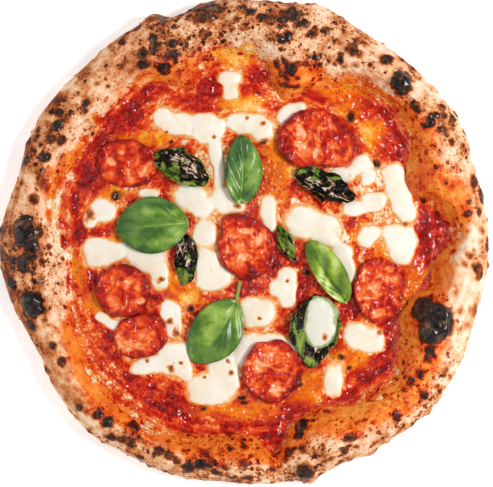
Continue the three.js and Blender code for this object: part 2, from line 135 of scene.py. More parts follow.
# Burnt spots of the rim, seen from above: [x, y, half-length, half-width].
BURNT = [
    [-51, 108, 5, 4.5], [-64, 111, 2.4, 2.6], [-64, 119, 2.8, 2.6], [-58, 121, 2.4, 2], [-57, 127, 2.2, 2.2],
    [-45, 124, 2.6, 2.2], [-44, 118, 2.2, 2], [-27, 130, 2.7, 2.7], [-21, 147, 4.4, 2.8],
    [-68, 134, 3.4, 2.2], [-77, 125, 2.4, 2], [-117, 81, 2.6, 2.4], [-117, 73, 3, 3.6], [-120, 65, 2.6, 2.4],
    [-115, 64, 3.6, 3.2], [-125, 54, 3.4, 2.8], [-137, 52, 2.4, 2.6], [-131, 28, 3.6, 3.4],
    [-138, 8, 6, 9.5], [-123, -2, 2.2, 2], [-139, -13, 3.4, 4.6], [-146, -25, 3.6, 4], [-133, -38, 6.6, 8.5],
    [-114, -74, 2.6, 3.4], [-120, -64, 2, 2.2], [-104, -102, 2.6, 2.4], [-92, -107, 3, 3],
    [-87, -112, 3.8, 3], [-84, -121, 2.6, 2.2], [-70, -114, 6, 3.6], [-98, -117, 2.6, 1.8],
    [-54, -129, 3, 2.6], [-48, -132, 2.8, 2.4], [-43, -134, 2.4, 2.4], [-36, -139, 3.8, 2.8],
    [-28, -137, 3.2, 2.6], [-18, -143, 2.6, 1.8], [-66, -133, 2.4, 2], [-10, -120, 2.6, 2.2],
    [-1, -127, 2.6, 2.4], [-10, -128, 2, 1.8], [1, -146, 3.4, 1.4], [37, -142.5, 7, 7], [27, -130, 3.4, 3.4],
    [34, -114, 5, 4], [33, -120, 3.6, 3], [65, -120, 4.6, 3.2], [62, -129, 2.4, 3.2], [93, -107, 3.4, 3.2],
    [111, -94, 2.8, 2.6], [119, -89, 1.9, 1.9], [123, -82, 1.6, 1.6], [103, -86, 3.2, 2.8],
    [109, -81, 2.6, 2.6], [87, -95, 2, 2], [50, -105, 2, 1.8], [109, -40, 8, 9.5], [117, -46, 10.5, 11],
    [113, -55, 8, 7.5], [119, -54, 6.5, 6.5], [114, -66, 2.8, 3], [113, -71.5, 2.4, 2.6], [145, -17, 3, 6],
    [138, -8, 1.8, 2], [129, -5, 2.2, 1.8], [66, 120, 4.2, 3.8], [70, 118, 2.4, 2.4], [59, 115, 2, 3.8],
    [86.5, 114.5, 4.4, 3.3], [96.5, 98.5, 6.4, 7.2], [105, 85.5, 3.3, 3.2], [22, 126, 3, 2.2],
    [26, 128.5, 2, 3.2], [41.5, 131, 3, 2.8], [49, 132.5, 2.4, 2.2], [32, 136.5, 2.2, 2.2],
    [37, 137, 3, 2.6], [22, 138.5, 2.8, 1.8], [10, 141, 3.4, 1.8], [28.5, 146.5, 2.2, 1.6], [4, 144, 2, 1.6],
    [133, 82, 3.2, 2.6], [137.5, 71, 2.4, 2.4], [123, 85, 1.8, 1.8], [129, 78, 2.3, 2.2], [124, 79.5, 2, 2],
    [114.5, 76.5, 2, 4.2], [121.5, 71, 2.1, 2], [118, 80, 1.6, 1.6], [128, 62, 1.8, 2], [142, 39, 3.1, 4.4],
    [147, 30, 2.7, 5], [145, 19.5, 2, 2], [138, 18, 2.4, 2], [111.5, 27, 1.9, 3.2], [151, -1, 2.4, 4],
    [19, 112, 1.8, 3.8], [23, 113.6, 2.2, 1.6], [28.4, 108, 3.2, 4], [25, 110.5, 1.8, 1.8],
    [33, 111.7, 2.6, 1.6], [37, 111.7, 2, 1.4], [24.5, 98.7, 2.8, 1.8], [29.2, 98, 1.8, 1.3],
    [32.6, 97.8, 2, 1.8], [21.3, 105.7, 1.3, 2.2], [31.5, 102.6, 1.1, 1.1], [-2, 134, 3, 2],
]
# Spots that are only toasted, in the same form. The long narrow one at (-15, 132) is not toast but painted
# shade in a crease of the rim.
TOASTED_AND_CREASE_SHADE = [
    [-41, 106, 3.4, 3.2], [-1, 122.5, 2, 2], [-15, 132, 3, 8], [-54, 135.5, 3, 3], [-101, 108, 3, 6],
    [-96, 114, 2.4, 2], [-118, 91, 5, 3], [-100, 98.5, 3, 3.6], [-99.5, 86.5, 3, 3], [-127, 40, 2.4, 2.4],
    [-123.5, 19.5, 2, 2], [-38, 95, 5, 4], [81, -131, 5.5, 4], [50, -135, 3, 2], [65, -134.5, 4.4, 2],
    [57, -141, 2, 1.6], [143, -36, 2, 2.2], [145, -43.5, 3, 4.2], [139, -51, 2.2, 2.2], [138.5, -70, 3, 5],
    [101, 80.5, 2, 2], [60, 131, 2.6, 2.6], [41.5, 146.5, 1.8, 1.8], [57, 140, 2.2, 1.8],
    [77.5, 129.5, 2, 2], [59, 123.5, 3, 2.6], [79, 109.5, 3, 2.6], [45, 119, 2, 2], [59, 101.5, 1.8, 1.6],
    [137, 58, 2.3, 2.3], [125, -50, 5, 9], [112, -62, 7, 9], [-25, 140, 9, 5], [15, 141, 16, 6],
    [-66, 112, 11, 9], [-134, 2, 9, 14], [-133, -38, 10, 12], [96, 98, 8, 9], [120, 76, 12, 9],
    [-60, 142, 8, 6], [26, 104, 8, 9], [-50, 119, 14, 11], [35, -117, 8, 5], [-32, -137, 12, 4],
    [-70, -120, 10, 5],
]
# How far up the inner slope the oil has stained the dough, around OIL_SHARE of the way.
OIL_SHARE = 0.38
OIL_SWELLS = [
    [14, 1.0, 12], [36, 0.5, 10], [74, 0.4, 6], [90, -0.3, 8], [112, 0.3, 10], [144, -0.25, 10],
    [165, 0.5, 9], [186, -0.5, 15], [197, -0.3, 7], [205, 0.35, 9], [228, 0.6, 16], [268, 0.65, 20],
    [300, 0.58, 11], [314, 0.55, 8], [328, 0.9, 13], [348, 0.3, 9],
]
# How brown the outer wall is, and how thickly the rim is speckled.
BROWNED_SWELLS = [
    [12, 0.15, 12], [50, 0.24, 12], [75, 0.4, 15], [102, 0.66, 14], [127, 0.62, 13], [153, 0.75, 14],
    [185, 0.9, 17], [212, 0.62, 13], [238, 0.4, 14], [262, 0.4, 12], [285, 0.25, 9],
]
SPECKLED_SWELLS = [
    [14, 0.2, 12], [32, 0.5, 14], [75, 0.8, 25], [105, 0.8, 15], [150, 0.5, 15], [185, 0.8, 16],
    [238, 0.5, 14], [265, 0.9, 12], [285, 0.65, 15], [316, 0.9, 17], [345, 0.1, 12],
]
# Places where the rim is smeared with sauce: [x, y, half-length, half-width].
SMEARED = [
    [110, 44, 6, 9], [113, 22, 6, 6], [-106, -46, 5, 7], [20, -128, 8, 7], [-100, 55, 7, 7],
    [-33, 104, 9, 5], [-28, 115, 5, 4], [-97, -80, 8, 6], [-60, -112, 10, 5], [122, 12, 8, 7],
]


def swell(swells, bearing):
    """Sum of bell curves round the rim, each of its own size and width."""
    total = np.zeros_like(bearing)
    for at, size, spread in swells:
        turn = (bearing - at + 540) % 360 - 180
        total = total + size * np.exp(-((turn / spread) ** 2))
    return total


# Large odd numbers that scatter the bits of a lattice corner's place and of a seed.
PLACE_STEPS = np.array([374761393, 668265263, 1440662683])
SEED_STEP = 974634777
BIT_MIXERS = [(13, 1274126177), (16, 461845907)]
LARGEST_DRAW = 0xFFFFFFFF


def noise(points, size, seed):
    """Smooth values from -1 to 1: every corner of a cubic lattice holds a number that is mixed from its
    place and the seed, and a point blends the eight corners round it."""
    scaled = points / size
    cell = np.floor(scaled).astype(np.int64)
    fade = scaled - cell
    fade = fade * fade * (3 - 2 * fade)
    total = np.zeros(points.shape[:-1])
    for corner in itertools.product((0, 1), repeat=3):
        held = (((cell + corner) * PLACE_STEPS).sum(axis=-1) + seed * SEED_STEP) & LARGEST_DRAW
        for shift, factor in BIT_MIXERS:
            held = ((held ^ (held >> shift)) * factor) & LARGEST_DRAW
        held = (held ^ (held >> 15)) / LARGEST_DRAW
        total += held * np.prod(np.where(corner, fade, 1 - fade), axis=-1)
    return 2 * total - 1


def crumble(points, size, seed, layers=3):
    """Noise with finer and weaker noise added, each layer half the size and half the strength."""
    return sum(noise(points, size / 2**layer, seed + layer) / 2**layer for layer in range(layers))


def smoothstep(low, high, value):
    """0 below low, 1 above high, and a smooth S between them."""
    share = np.clip((value - low) / (high - low), 0, 1)
    return share * share * (3 - 2 * share)


def rim_at(bearing):
    """The rim's edge, foot, height and crest radius at each bearing."""
    edge = PIZZA_RADIUS + swell(EDGE_SWELLS, bearing)
    foot = FOOT_RADIUS + swell(FOOT_SWELLS, bearing)
    height = CREST_HEIGHT + swell(CREST_SWELLS, bearing)
    return edge, foot, height, foot + (edge - foot) * CREST_SHARE


def slope_height(height, climb):
    """Height of the rim's inner slope. climb is the share of the way from its foot to its crest."""
    return BASE_THICKNESS + (height - BASE_THICKNESS) * np.sin(climb * np.pi / 2) ** INNER_CURVE


def rim_section(bearing, lap):
    """Radius and height of the dough's skin. lap runs 0 to 1 across the sole, to 2 up to the widest line,
    to 3 over the crest, to 4 down to the foot and to 5 over the base to its middle."""
    edge, foot, height, crest = rim_at(bearing)
    belly = height * BELLY_SHARE
    sole = edge - SOLE_INSET
    under = np.clip(lap - 1, 0, 1) * np.pi / 2
    outer = np.clip(lap - 2, 0, 1) * np.pi / 2
    inner = 1 - np.clip(lap - 3, 0, 1)
    radius = np.where(lap < 1, sole * lap, sole + (edge - sole) * np.sin(under))
    level = belly * (1 - np.cos(under))
    radius = np.where(lap > 2, crest + (edge - crest) * np.cos(outer), radius)
    level = np.where(lap > 2, belly + (height - belly) * np.sin(outer), level)
    radius = np.where(lap > 3, foot + (crest - foot) * inner, radius)
    level = np.where(lap > 3, slope_height(height, inner), level)
    radius = np.where(lap > 4, foot * (5 - lap), radius)
    return radius, level


def plan(bearing, radius):
    """x and y of a bearing and a distance from the middle."""
    return radius * np.cos(np.radians(bearing)), radius * np.sin(np.radians(bearing))


def crust_skin(bearing, lap):
    """Points of the dough: the rim's section turned to its bearing, with the blisters' bulges on top."""
    radius, level = rim_section(bearing, lap)
    x, y = plan(bearing, radius)
    upward = np.where(lap < 3, np.sin(np.clip(lap - 2, 0, 1) * np.pi / 2), smoothstep(4, 3.75, lap))
    for cx, cy, size, rise in BLISTERS:
        level = level + upward * rise * np.exp(-((np.hypot(x - cx, y - cy) / size) ** 4))
    return np.stack([x, y, level], axis=-1)


def outward(points):
    """Unit normals of a grid of points whose columns close on themselves."""
    along = np.gradient(points, axis=0)
    around = np.roll(points, -1, axis=1) - np.roll(points, 1, axis=1)
    normal = np.cross(around, along)
    return normal / np.maximum(np.linalg.norm(normal, axis=-1, keepdims=True), 1e-9)


def spots(points, listed, upper, halo, wobble):
    """How strongly each point is marked by the listed ellipses: a half on an outline, more inside it and
    less outside, over a halo that is wider round a large spot, with noise that bends the outline. A small
    spot is weaker in its middle. Each lies on the upper skin, so distances start from the skin's own point
    above its middle."""
    strongest = np.zeros(points.shape[:-1])
    bend = 1 + wobble * crumble(points, 3.2, 31)
    for x, y, length, width in listed:
        apart = np.hypot(points[..., 0] - x, points[..., 1] - y) + 1e3 * (1 - upper)
        middle = points.reshape(-1, 3)[np.argmin(apart)]
        size = (length + width) / 2
        share = np.linalg.norm((points - middle) / (length, width, size), axis=-1) * bend
        beyond = (share - 0.9) * size / (halo + 0.35 * size)
        strongest = np.maximum(strongest, np.minimum(0.42 + 0.06 * size, 0.5 - beyond))
    return np.clip(strongest, 0, 1)


def skin_mesh(name, first, rings, last, marks):
    """One closed skin over rings of points with a lone point at each end, given in millimetres. marks are
    values for each ring point, kept as attributes for the materials."""
    rows, count = rings.shape[:2]
    points = np.vstack([first, rings.reshape(-1, 3), last]) * 0.001
    place = 1 + np.arange(rows * count).reshape(rows, count)
    beside = np.roll(place, -1, axis=1)
    quads = np.stack([place[:-1], beside[:-1], beside[1:], place[1:]], axis=-1).reshape(-1, 4)
    start = np.stack([np.zeros(count, int), beside[0], place[0]], axis=-1)
    finish = np.stack([place[-1], beside[-1], np.full(count, len(points) - 1)], axis=-1)
    mesh = bpy.data.meshes.new(name)
    mesh.from_pydata(points.tolist(), [], quads.tolist() + start.tolist() + finish.tolist())
    mesh.shade_smooth()
    for mark, values in marks.items():
        full = np.concatenate([values[0].mean(keepdims=True), values.ravel(), values[-1].mean(keepdims=True)])
        mesh.attributes.new(mark, "FLOAT", "POINT").data.foreach_set("value", full.astype(np.float32))
    return mesh


def show(name, mesh, finish, solid):
    """Places a finished piece: it rides on the pizza and stands for its plain solid."""
    piece = bpy.data.objects.new(name, mesh)
    mesh.materials.append(finish)
    bpy.context.scene.collection.objects.link(piece)
    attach(piece, "root")
    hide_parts(solid)


CRUST_COLUMNS = 900
crust_laps = np.concatenate([
    [0.25, 0.5, 0.75, 0.9], np.linspace(1, 2, 11), np.linspace(2, 3, 36)[1:], np.linspace(3, 4, 46)[1:],
    [4.06, 4.3, 4.6],
])
bearings, laps = np.meshgrid(np.arange(CRUST_COLUMNS) * 360 / CRUST_COLUMNS, crust_laps)
dough = crust_skin(bearings, laps)
dough_normal = outward(dough)
visible = smoothstep(1.0, 1.6, laps) * smoothstep(4.06, 3.9, laps)
facing_up = ((laps >= 2) & (laps <= 4)).astype(float)

# Pocks are the smallest bubbles, each with a halo that is more or less toasted.
draw = np.random.default_rng(41)
POCK_COUNT = 520
pock_columns = draw.integers(0, CRUST_COLUMNS, POCK_COUNT)
pock_rows = np.searchsorted(crust_laps, draw.uniform(1.5, 3.3, POCK_COUNT))
pock_size = draw.gamma(3.0, 0.36, POCK_COUNT) + 0.6
pock_burn = draw.uniform(0.05, 0.6, POCK_COUNT)
pocks = np.zeros(laps.shape)
burn = np.zeros(laps.shape)
for row, column, size, strength in zip(pock_rows, pock_columns, pock_size, pock_burn):
    near = np.linalg.norm(dough - dough[row, column], axis=-1) / size
    pocks = np.maximum(pocks, np.exp(-(near**3)) * min(size, 2.5) * 0.3)
    burn = np.maximum(burn, strength * np.clip(1.1 - 0.6 * near, 0, 1))

burn = np.maximum(burn, spots(dough, BURNT, facing_up, 1.9, wobble=0.22))
# Toasted spots, and the painted crease shade listed with them.
toast_and_crease_shade = spots(dough, TOASTED_AND_CREASE_SHADE, facing_up, 6, wobble=0.4)
smeared = smoothstep(0.1, 0.7, spots(dough, SMEARED, facing_up, 7, wobble=0.45)) * facing_up
slope = np.clip(4 - laps, 0, 2)
browned = swell(BROWNED_SWELLS, bearings) * smoothstep(3.7, 2.5, laps)
speckled = swell(SPECKLED_SWELLS, bearings)
oil_line = OIL_SHARE + swell(OIL_SWELLS, bearings) + 0.16 * crumble(dough, 9, 5)
oiled = smoothstep(0.33, -0.27, slope - oil_line)
raised = smoothstep(0.25, 0.9, burn)
crackle = 1 - 2 * np.abs(noise(dough, 3.4, 8))
charred = 1.5 * noise(dough, 6, 9) - 1.3 * np.abs(noise(dough, 4.2, 10))
relief = (
    0.7 * noise(dough, 22, 1) + 0.45 * noise(dough, 9, 2) + 0.25 * crumble(dough, 4, 3) + pocks
    + raised * (1.1 + 0.5 * crackle)
    + smoothstep(0.8, 1.0, burn) * charred
)
crust_rings = dough + dough_normal * (relief * visible)[..., None]
crust_mesh = skin_mesh("crust_skin", (0, 0, 0), crust_rings, (0, 0, BASE_THICKNESS), {
    "burn": burn, "toast_and_crease_shade": toast_and_crease_shade, "oiled": oiled, "smeared": smeared, "browned": browned,
    "speckled": speckled,
})


def rgb(red, green, blue):
    """A colour as it looks in a picture, 0 to 255, turned into the linear light that shaders take."""
    value = np.array([red, green, blue]) / 255
    linear = np.where(value <= 0.04045, value / 12.92, ((value + 0.055) / 1.055) ** 2.4)
    return (*linear, 1.0)


def feed(made, inputs):
    """Links each input of a node that is given a socket, and sets any other."""
    for key, value in inputs.items():
        if isinstance(value, bpy.types.NodeSocket):
            made.id_data.links.new(value, made.inputs[key])
        else:
            made.inputs[key].default_value = value


def node(tree, kind, inputs=None, **settings):
    """Adds a shader node with its settings and its inputs."""
    made = tree.nodes.new("ShaderNode" + kind)
    for key, value in settings.items():
        setattr(made, key, value)
    feed(made, inputs or {})
    return made


def mixed(tree, factor, first, second):
    """The colour between first and second, by a factor."""
    return node(tree, "Mix", {0: factor, 6: first, 7: second}, data_type="RGBA").outputs[2]


def sum_of(tree, operation, first, second):
    """Two values put together, such as by MULTIPLY or MAXIMUM, and kept between 0 and 1."""
    return node(tree, "Math", {0: first, 1: second}, operation=operation, use_clamp=True).outputs[0]


def ramp(tree, value, low, high):
    """0 where a value is below low, 1 where it is above high."""
    return node(tree, "MapRange", {0: value, 1: low, 2: high}, interpolation_type="SMOOTHSTEP").outputs[0]


def ranged(tree, value, start, end, low=0.0, high=1.0):
    """Runs evenly from start to end while a value runs from low to high."""
    return node(tree, "MapRange", {0: value, 1: low, 2: high, 3: start, 4: end}).outputs[0]


def total(tree, start, *terms):
    """start plus each value times its weight, without a limit."""
    for value, weight in terms:
        start = node(tree, "Math", {0: value, 1: weight, 2: start}, operation="MULTIPLY_ADD").outputs[0]
    return start


def palette(tree, value, *stops):
    """Colours along a value. Each stop is the value and the colour there."""
    run = node(tree, "ValToRGB", {0: value})
    points = run.color_ramp.elements
    for number, (at, colour) in enumerate(stops):
        point = points[number] if number < 2 else points.new(at)
        point.position = at
        point.color = rgb(*colour)
    return run.outputs[0]


def grain_of(tree, place, per_metre, detail=4.0, roughness=0.6, distortion=0.0):
    """Noise around a half with so many grains to the metre."""
    return node(tree, "TexNoise", {
        "Vector": place, "Scale": per_metre, "Detail": detail, "Roughness": roughness,
        "Distortion": distortion,
    }).outputs["Fac"]


def round_the_rim(tree, place, stretch=0.02):
    """The place with its direction from the middle made short, so that noise is drawn out into lines that
    run round the pizza."""
    flat = node(tree, "VectorMath", {0: place, 1: (1, 1, 0)}, operation="MULTIPLY").outputs[0]
    radius = node(tree, "VectorMath", {0: flat}, operation="LENGTH").outputs["Value"]
    way = node(tree, "VectorMath", {0: flat}, operation="NORMALIZE").outputs[0]
    way = node(tree, "VectorMath", {0: way, "Scale": stretch}, operation="SCALE").outputs[0]
    across = node(tree, "CombineXYZ", {2: radius}).outputs[0]
    return node(tree, "VectorMath", {0: way, 1: across}, operation="ADD").outputs[0]


def mark(tree, name):
    """An attribute of the mesh."""
    return node(tree, "Attribute", attribute_name=name).outputs["Fac"]


def bumps(tree, *layers):
    """A normal that bends with each layer in turn, given as its height, strength and depth in metres."""
    bent = {}
    for height, strength, depth in layers:
        made = node(tree, "Bump", {"Height": height, "Strength": strength, "Distance": depth, **bent})
        bent = {"Normal": made.outputs[0]}
    return bent["Normal"]


def effect(name, inputs):
    """An empty node group that gives a mask from named inputs, each listed with its kind of socket."""
    group = bpy.data.node_groups.new(name, "ShaderNodeTree")
    for label, kind in inputs:
        group.interface.new_socket(name=label, in_out="INPUT", socket_type="NodeSocket" + kind)
    group.interface.new_socket(name="Mask", in_out="OUTPUT", socket_type="NodeSocketFloat")
    return group, group.nodes.new("NodeGroupInput").outputs, group.nodes.new("NodeGroupOutput")


def use(tree, group, inputs):
    """Places an effect in a material and gives its mask."""
    return node(tree, "Group", inputs, node_tree=group).outputs["Mask"]


# Ragged edge: a soft mask is broken up by noise, so that a stain or a burn ends in grains.
ragged, given, result = effect(
    "ragged_edge", [("Mask", "Float"), ("Vector", "Vector"), ("Grains", "Float"), ("Raggedness", "Float")],
)
grain = grain_of(ragged, given["Vector"], given["Grains"], 5.0, 0.65)
push = node(ragged, "MapRange", {0: grain, 1: 0.25, 2: 0.75, 3: -1.0, 4: 1.0}, clamp=False).outputs[0]
pushed = total(ragged, given["Mask"], (push, given["Raggedness"]))
feed(result, {"Mask": ramp(ragged, pushed, 0.2, 0.8)})

# Specks: soft dots, one at most in each random cell. Density lets more of them through.
specks, given, result = effect("specks", [("Vector", "Vector"), ("Grains", "Float"), ("Density", "Float")])
dots = node(specks, "TexVoronoi", {"Vector": given["Vector"], "Scale": given["Grains"]})
drawn = node(specks, "SeparateColor", {0: dots.outputs["Color"]}).outputs
finer = total(specks, 0.0, (given["Grains"], 3.0))
shake = node(specks, "TexNoise", {"Vector": given["Vector"], "Scale": finer, "Detail": 1.0}).outputs["Fac"]
apart = total(specks, 0.0, (dots.outputs["Distance"], shake))
size = ranged(specks, drawn["Green"], 0.15, 0.31)
heart = total(specks, 0.0, (size, 0.4))
dot = ramp(specks, apart, size, heart)
least = ranged(specks, given["Density"], 1.0, 0.3)
above = total(specks, drawn["Red"], (least, -1.0))
feed(result, {"Mask": sum_of(specks, "MULTIPLY", dot, ramp(specks, above, 0.0, 0.1))})


def material(name):
    """A new material: its tree, its shader and the place on the piece."""
    made = bpy.data.materials.new(name)
    made.use_nodes = True
    tree = made.node_tree
    return made, tree, tree.nodes["Principled BSDF"], node(tree, "TexCoord").outputs["Object"]


baked_dough, tree, shader, place = material("baked_dough")
mottle = grain_of(tree, place, 170, 3, 0.5)
patch = grain_of(tree, place, 55, 3)
fine = grain_of(tree, place, 650, 3)
lines = grain_of(tree, round_the_rim(tree, place), 380, 3)
# The underside has no lines.
above_sole = ramp(tree, node(tree, "SeparateXYZ", {0: place}).outputs["Z"], 0.002, 0.006)
lines = node(tree, "Mix", {0: above_sole, 2: 0.5, 3: lines}).outputs[0]
crowd = sum_of(tree, "ADD", mark(tree, "speckled"), ranged(tree, patch, -0.35, 0.35, 0.3, 0.7))
speckling = {"Vector": place, "Density": crowd}
large, small, tiny = (use(tree, specks, {**speckling, "Grains": grains}) for grains in (230.0, 440.0, 760.0))
# How far the dough is baked: pale at 0, brown at a half, black at 1.
bake = total(
    tree, -1.015, (mottle, 0.6), (patch, 0.9), (fine, 0.35), (lines, 0.5), (mark(tree, "browned"), 0.3),
    (mark(tree, "toast_and_crease_shade"), 0.3), (large, 0.38), (small, 0.3), (tiny, 0.26), (mark(tree, "burn"), 0.8),
    (mark(tree, "oiled"), 0.03),
)
dry = palette(
    tree, bake, (0.0, (253, 230, 208)), (0.2, (244, 196, 154)), (0.38, (216, 140, 88)), (0.54, (166, 82, 40)),
    (0.68, (98, 46, 24)), (0.82, (50, 26, 18)), (1.0, (26, 18, 15)),
)
# Dough that has soaked up oil is orange, and redder where sauce has run.
uneven_stain = total(tree, -0.83, (mark(tree, "oiled"), 1.0), (mottle, 0.8), (lines, 0.5), (fine, 0.4))
stain = ramp(tree, uneven_stain, 0.05, 0.95)
soaked = palette(
    tree, bake, (0.0, (249, 166, 74)), (0.2, (243, 130, 42)), (0.38, (228, 92, 26)), (0.54, (180, 48, 12)),
    (0.68, (98, 22, 8)), (0.82, (40, 15, 10)), (1.0, (20, 14, 12)),
)
colour = mixed(tree, stain, dry, soaked)
run_over = ramp(tree, total(tree, -0.75, (mark(tree, "smeared"), 1.0), (fine, 0.7), (mottle, 0.7)), 0.1, 0.9)
colour = mixed(tree, sum_of(tree, "MULTIPLY", run_over, 0.8), colour, palette(
    tree, bake, (0.0, (240, 110, 40)), (0.3, (206, 44, 18)), (0.6, (128, 16, 9)), (0.85, (36, 12, 9)),
))
burnt = ramp(tree, bake, 0.7, 0.9)
crisp = grain_of(tree, place, 200, 3)
ash = palette(tree, crisp, (0.42, (17, 12, 10)), (0.55, (56, 36, 27)), (0.68, (138, 92, 68)))
colour = mixed(tree, sum_of(tree, "MULTIPLY", burnt, 0.85), colour, ash)
feed(shader, {
    "Base Color": colour, "Normal": bumps(tree, (mottle, 0.9, 0.0016), (fine, 0.5, 0.0006)),
    "Roughness": node(tree, "Mix", {0: burnt, 2: ranged(tree, stain, 0.8, 0.4), 3: 0.3}).outputs[0],
    "Specular IOR Level": 0.16, "Coat Weight": sum_of(tree, "MULTIPLY", burnt, 0.45), "Coat Roughness": 0.15,
    "Subsurface Weight": 0.08, "Subsurface Radius": (0.003, 0.0015, 0.0008), "Subsurface Scale": 1.0,
})

show("crust_baked", crust_mesh, baked_dough, "crust")


# ---- Tomato sauce ----
# A thin layer of crushed tomato over the whole base. It is deep red and wet where it pooled near the rim, and
# darkened by painted shadow beside the large burnt blister; orange with oil between the toppings; and milky
# round the cheese. It thins out on the rim's slope.
SAUCE_THICKNESS = 1.7
SAUCE_EDGE = 0.4
SAUCE_RIPPLE = 0.14
SAUCE_LUMPS = 0.45  # near the rim, from LUMPS_FROM outwards
LUMPS_FROM = 98
GAP = 0.3  # under the sauce
FILM = 0.45  # thickness of the sauce on the rim's slope, which thins by FILM_LOSS outwards
FILM_LOSS = 9
# Deep red pools: [x, y, half-length, half-width]. The two at x 92, y -50 and -62, beside the large burnt
# blister, are partly painted shadow.
POOLS_AND_PAINTED_SHADOW = [
    [-93, 64, 8, 9], [-84, 76, 9, 9], [-74, 87, 9, 9], [-64, 95, 9, 8], [-55, 99, 8, 7], [8, 110, 9, 7],
    [6, 103, 5, 6], [-22, 98, 7, 8], [-30, 88, 8, 5], [78, 89, 8, 5], [86, 83, 7, 6], [92, 75, 6, 8],
    [97, 66, 6, 8], [95, 57, 5, 7], [118, 12, 8, 7], [112, 4, 6, 7], [121, 1, 6, 6], [112, -5, 6, 9],
    [87, -72, 6, 6], [76, -85, 8, 6], [63, -94, 8, 6], [35, -105, 10, 5], [25, -112, 8, 6],
    [14, -118, 10, 7], [-10, -117, 10, 7], [-22, -121, 8, 6], [-38, -106, 10, 8], [-50, -99, 8, 7],
    [-61, -93, 7, 6], [-73, -82, 6, 6], [-82, -70, 5, 6], [-87, -60, 5, 6], [-107, 27, 3, 8],
    [-103, 8, 3, 7], [-101, 46, 6, 7], [-94, 40, 6, 7], [-97, -22, 4, 8], [34, -27, 8, 9], [22, -16, 6, 5],
    [-4, -28, 12, 4], [33, -57, 5, 11], [56, -33, 5, 6], [67, -40, 4, 7], [-52, -34, 6, 5], [-13, -58, 4, 8],
    [97, -20, 3, 12], [90, 62, 7, 9], [92, -62, 5, 9], [20, 87, 8, 5], [-58, -45, 6, 5], [66, 14, 4, 6],
    [92, -50, 4, 10], [58, -97, 9, 5], [85, -76, 7, 7],
]
# Places where oil floats on the sauce, and where milk from the cheese has run into it, in the same form.
OILY = [
    [-6, 117, 10, 5], [72, 90, 10, 5], [80, 68, 9, 13], [66, 84, 8, 8], [56, 96, 10, 5], [0, -106, 22, 5],
    [66, -73, 11, 8], [108, -24, 8, 10], [98, -56, 5, 12], [-60, 66, 16, 5], [20, 46, 10, 16],
    [-45, 48, 10, 6], [40, -90, 9, 10], [-78, 4, 8, 8], [-84, 32, 7, 6], [-46, -30, 5, 10], [86, -8, 6, 10],
    [-36, -33, 7, 6], [-104, -20, 5, 10], [-2, 88, 14, 6], [-95, -38, 6, 8], [-28, -104, 12, 5],
    [70, 8, 6, 8], [100, -35, 5, 12], [-32, 40, 8, 5],
]
MILKY = [
    [-3, 112, 8, 6], [-25, 47, 15, 15], [-12, 40, 10, 12], [84, 42, 10, 8], [76, 34, 9, 5], [20, 90, 8, 5],
    [-36, -34, 5, 5], [76, 68, 5, 8], [14, 91, 4, 4], [-16, 14, 8, 6], [88, 18, 8, 8], [-36, 74, 20, 10],
    [-28, -62, 12, 8], [-80, -50, 8, 4], [30, 44, 4, 4], [-70, 34, 8, 4], [5, 84, 18, 6], [-72, -8, 10, 10],
    [60, 2, 8, 6],
]
# Where the film of sauce on the rim's slope is paler or redder than elsewhere.
PALE_FILM_SWELLS = [
    [14, -0.6, 16], [82, 0.5, 20], [144, 0.5, 10], [186, 1.0, 15], [232, -0.5, 10], [335, -0.6, 10],
]
# Burnt and toasted flecks on the sauce: [x, y, half-length, half-width].
FLECKS = [
    [-82, 30, 3.3, 3.3], [-34.5, -41, 3, 2.6], [66, 79.5, 2.6, 3.6], [82, 50, 2.8, 2.6], [38, -18, 2.6, 2.4],
    [3, -91, 2, 2], [11, 64, 2.6, 2], [-2, -97, 3, 2], [60, -71, 2, 2], [-31, -7, 1.4, 1.4],
    [-47, 64, 1.6, 1.4], [-2, -100, 3, 1.6], [65, -78, 2, 1.4], [34, -89, 2, 1.6], [21, -88, 1.8, 1.8],
    [-27, -104, 2.2, 1.6],
]


def sauce_top(x, y):
    """Height of the plain sauce: even under the toppings, lumpy near the rim and thin at its foot."""
    foot = FOOT_RADIUS + swell(FOOT_SWELLS, np.degrees(np.arctan2(y, x)) % 360)
    share = np.minimum(1, np.hypot(x, y) / foot)
    wave = np.sin(0.23 * x + 0.7) * np.cos(0.27 * y - 0.4) + 0.6 * np.sin(0.21 * (x + y) + 1.9)
    ripple = SAUCE_RIPPLE + SAUCE_LUMPS * smoothstep(LUMPS_FROM, LUMPS_FROM + 10, np.hypot(x, y))
    depth = SAUCE_EDGE + (SAUCE_THICKNESS - SAUCE_EDGE + ripple * wave) * (1 - share**10)
    return BASE_THICKNESS + GAP + depth


def flat_points(x, y, layer=0.0):
    """Points of a plan on one layer of the noise."""
    return np.stack([x, y, 0 * x + layer], axis=-1)


def blots(x, y, listed, soften, wobble, grain=6):
    """1 inside flat ellipses and 0 outside, over a soft edge that noise bends."""
    bend = 1 + wobble * crumble(flat_points(x, y), grain, 57)
    mask = np.zeros(x.shape)
    for cx, cy, length, width in listed:
        share = np.hypot((x - cx) / length, (y - cy) / width) * bend
        mask = np.maximum(mask, smoothstep(1 + soften, 1 - soften, share))
    return mask


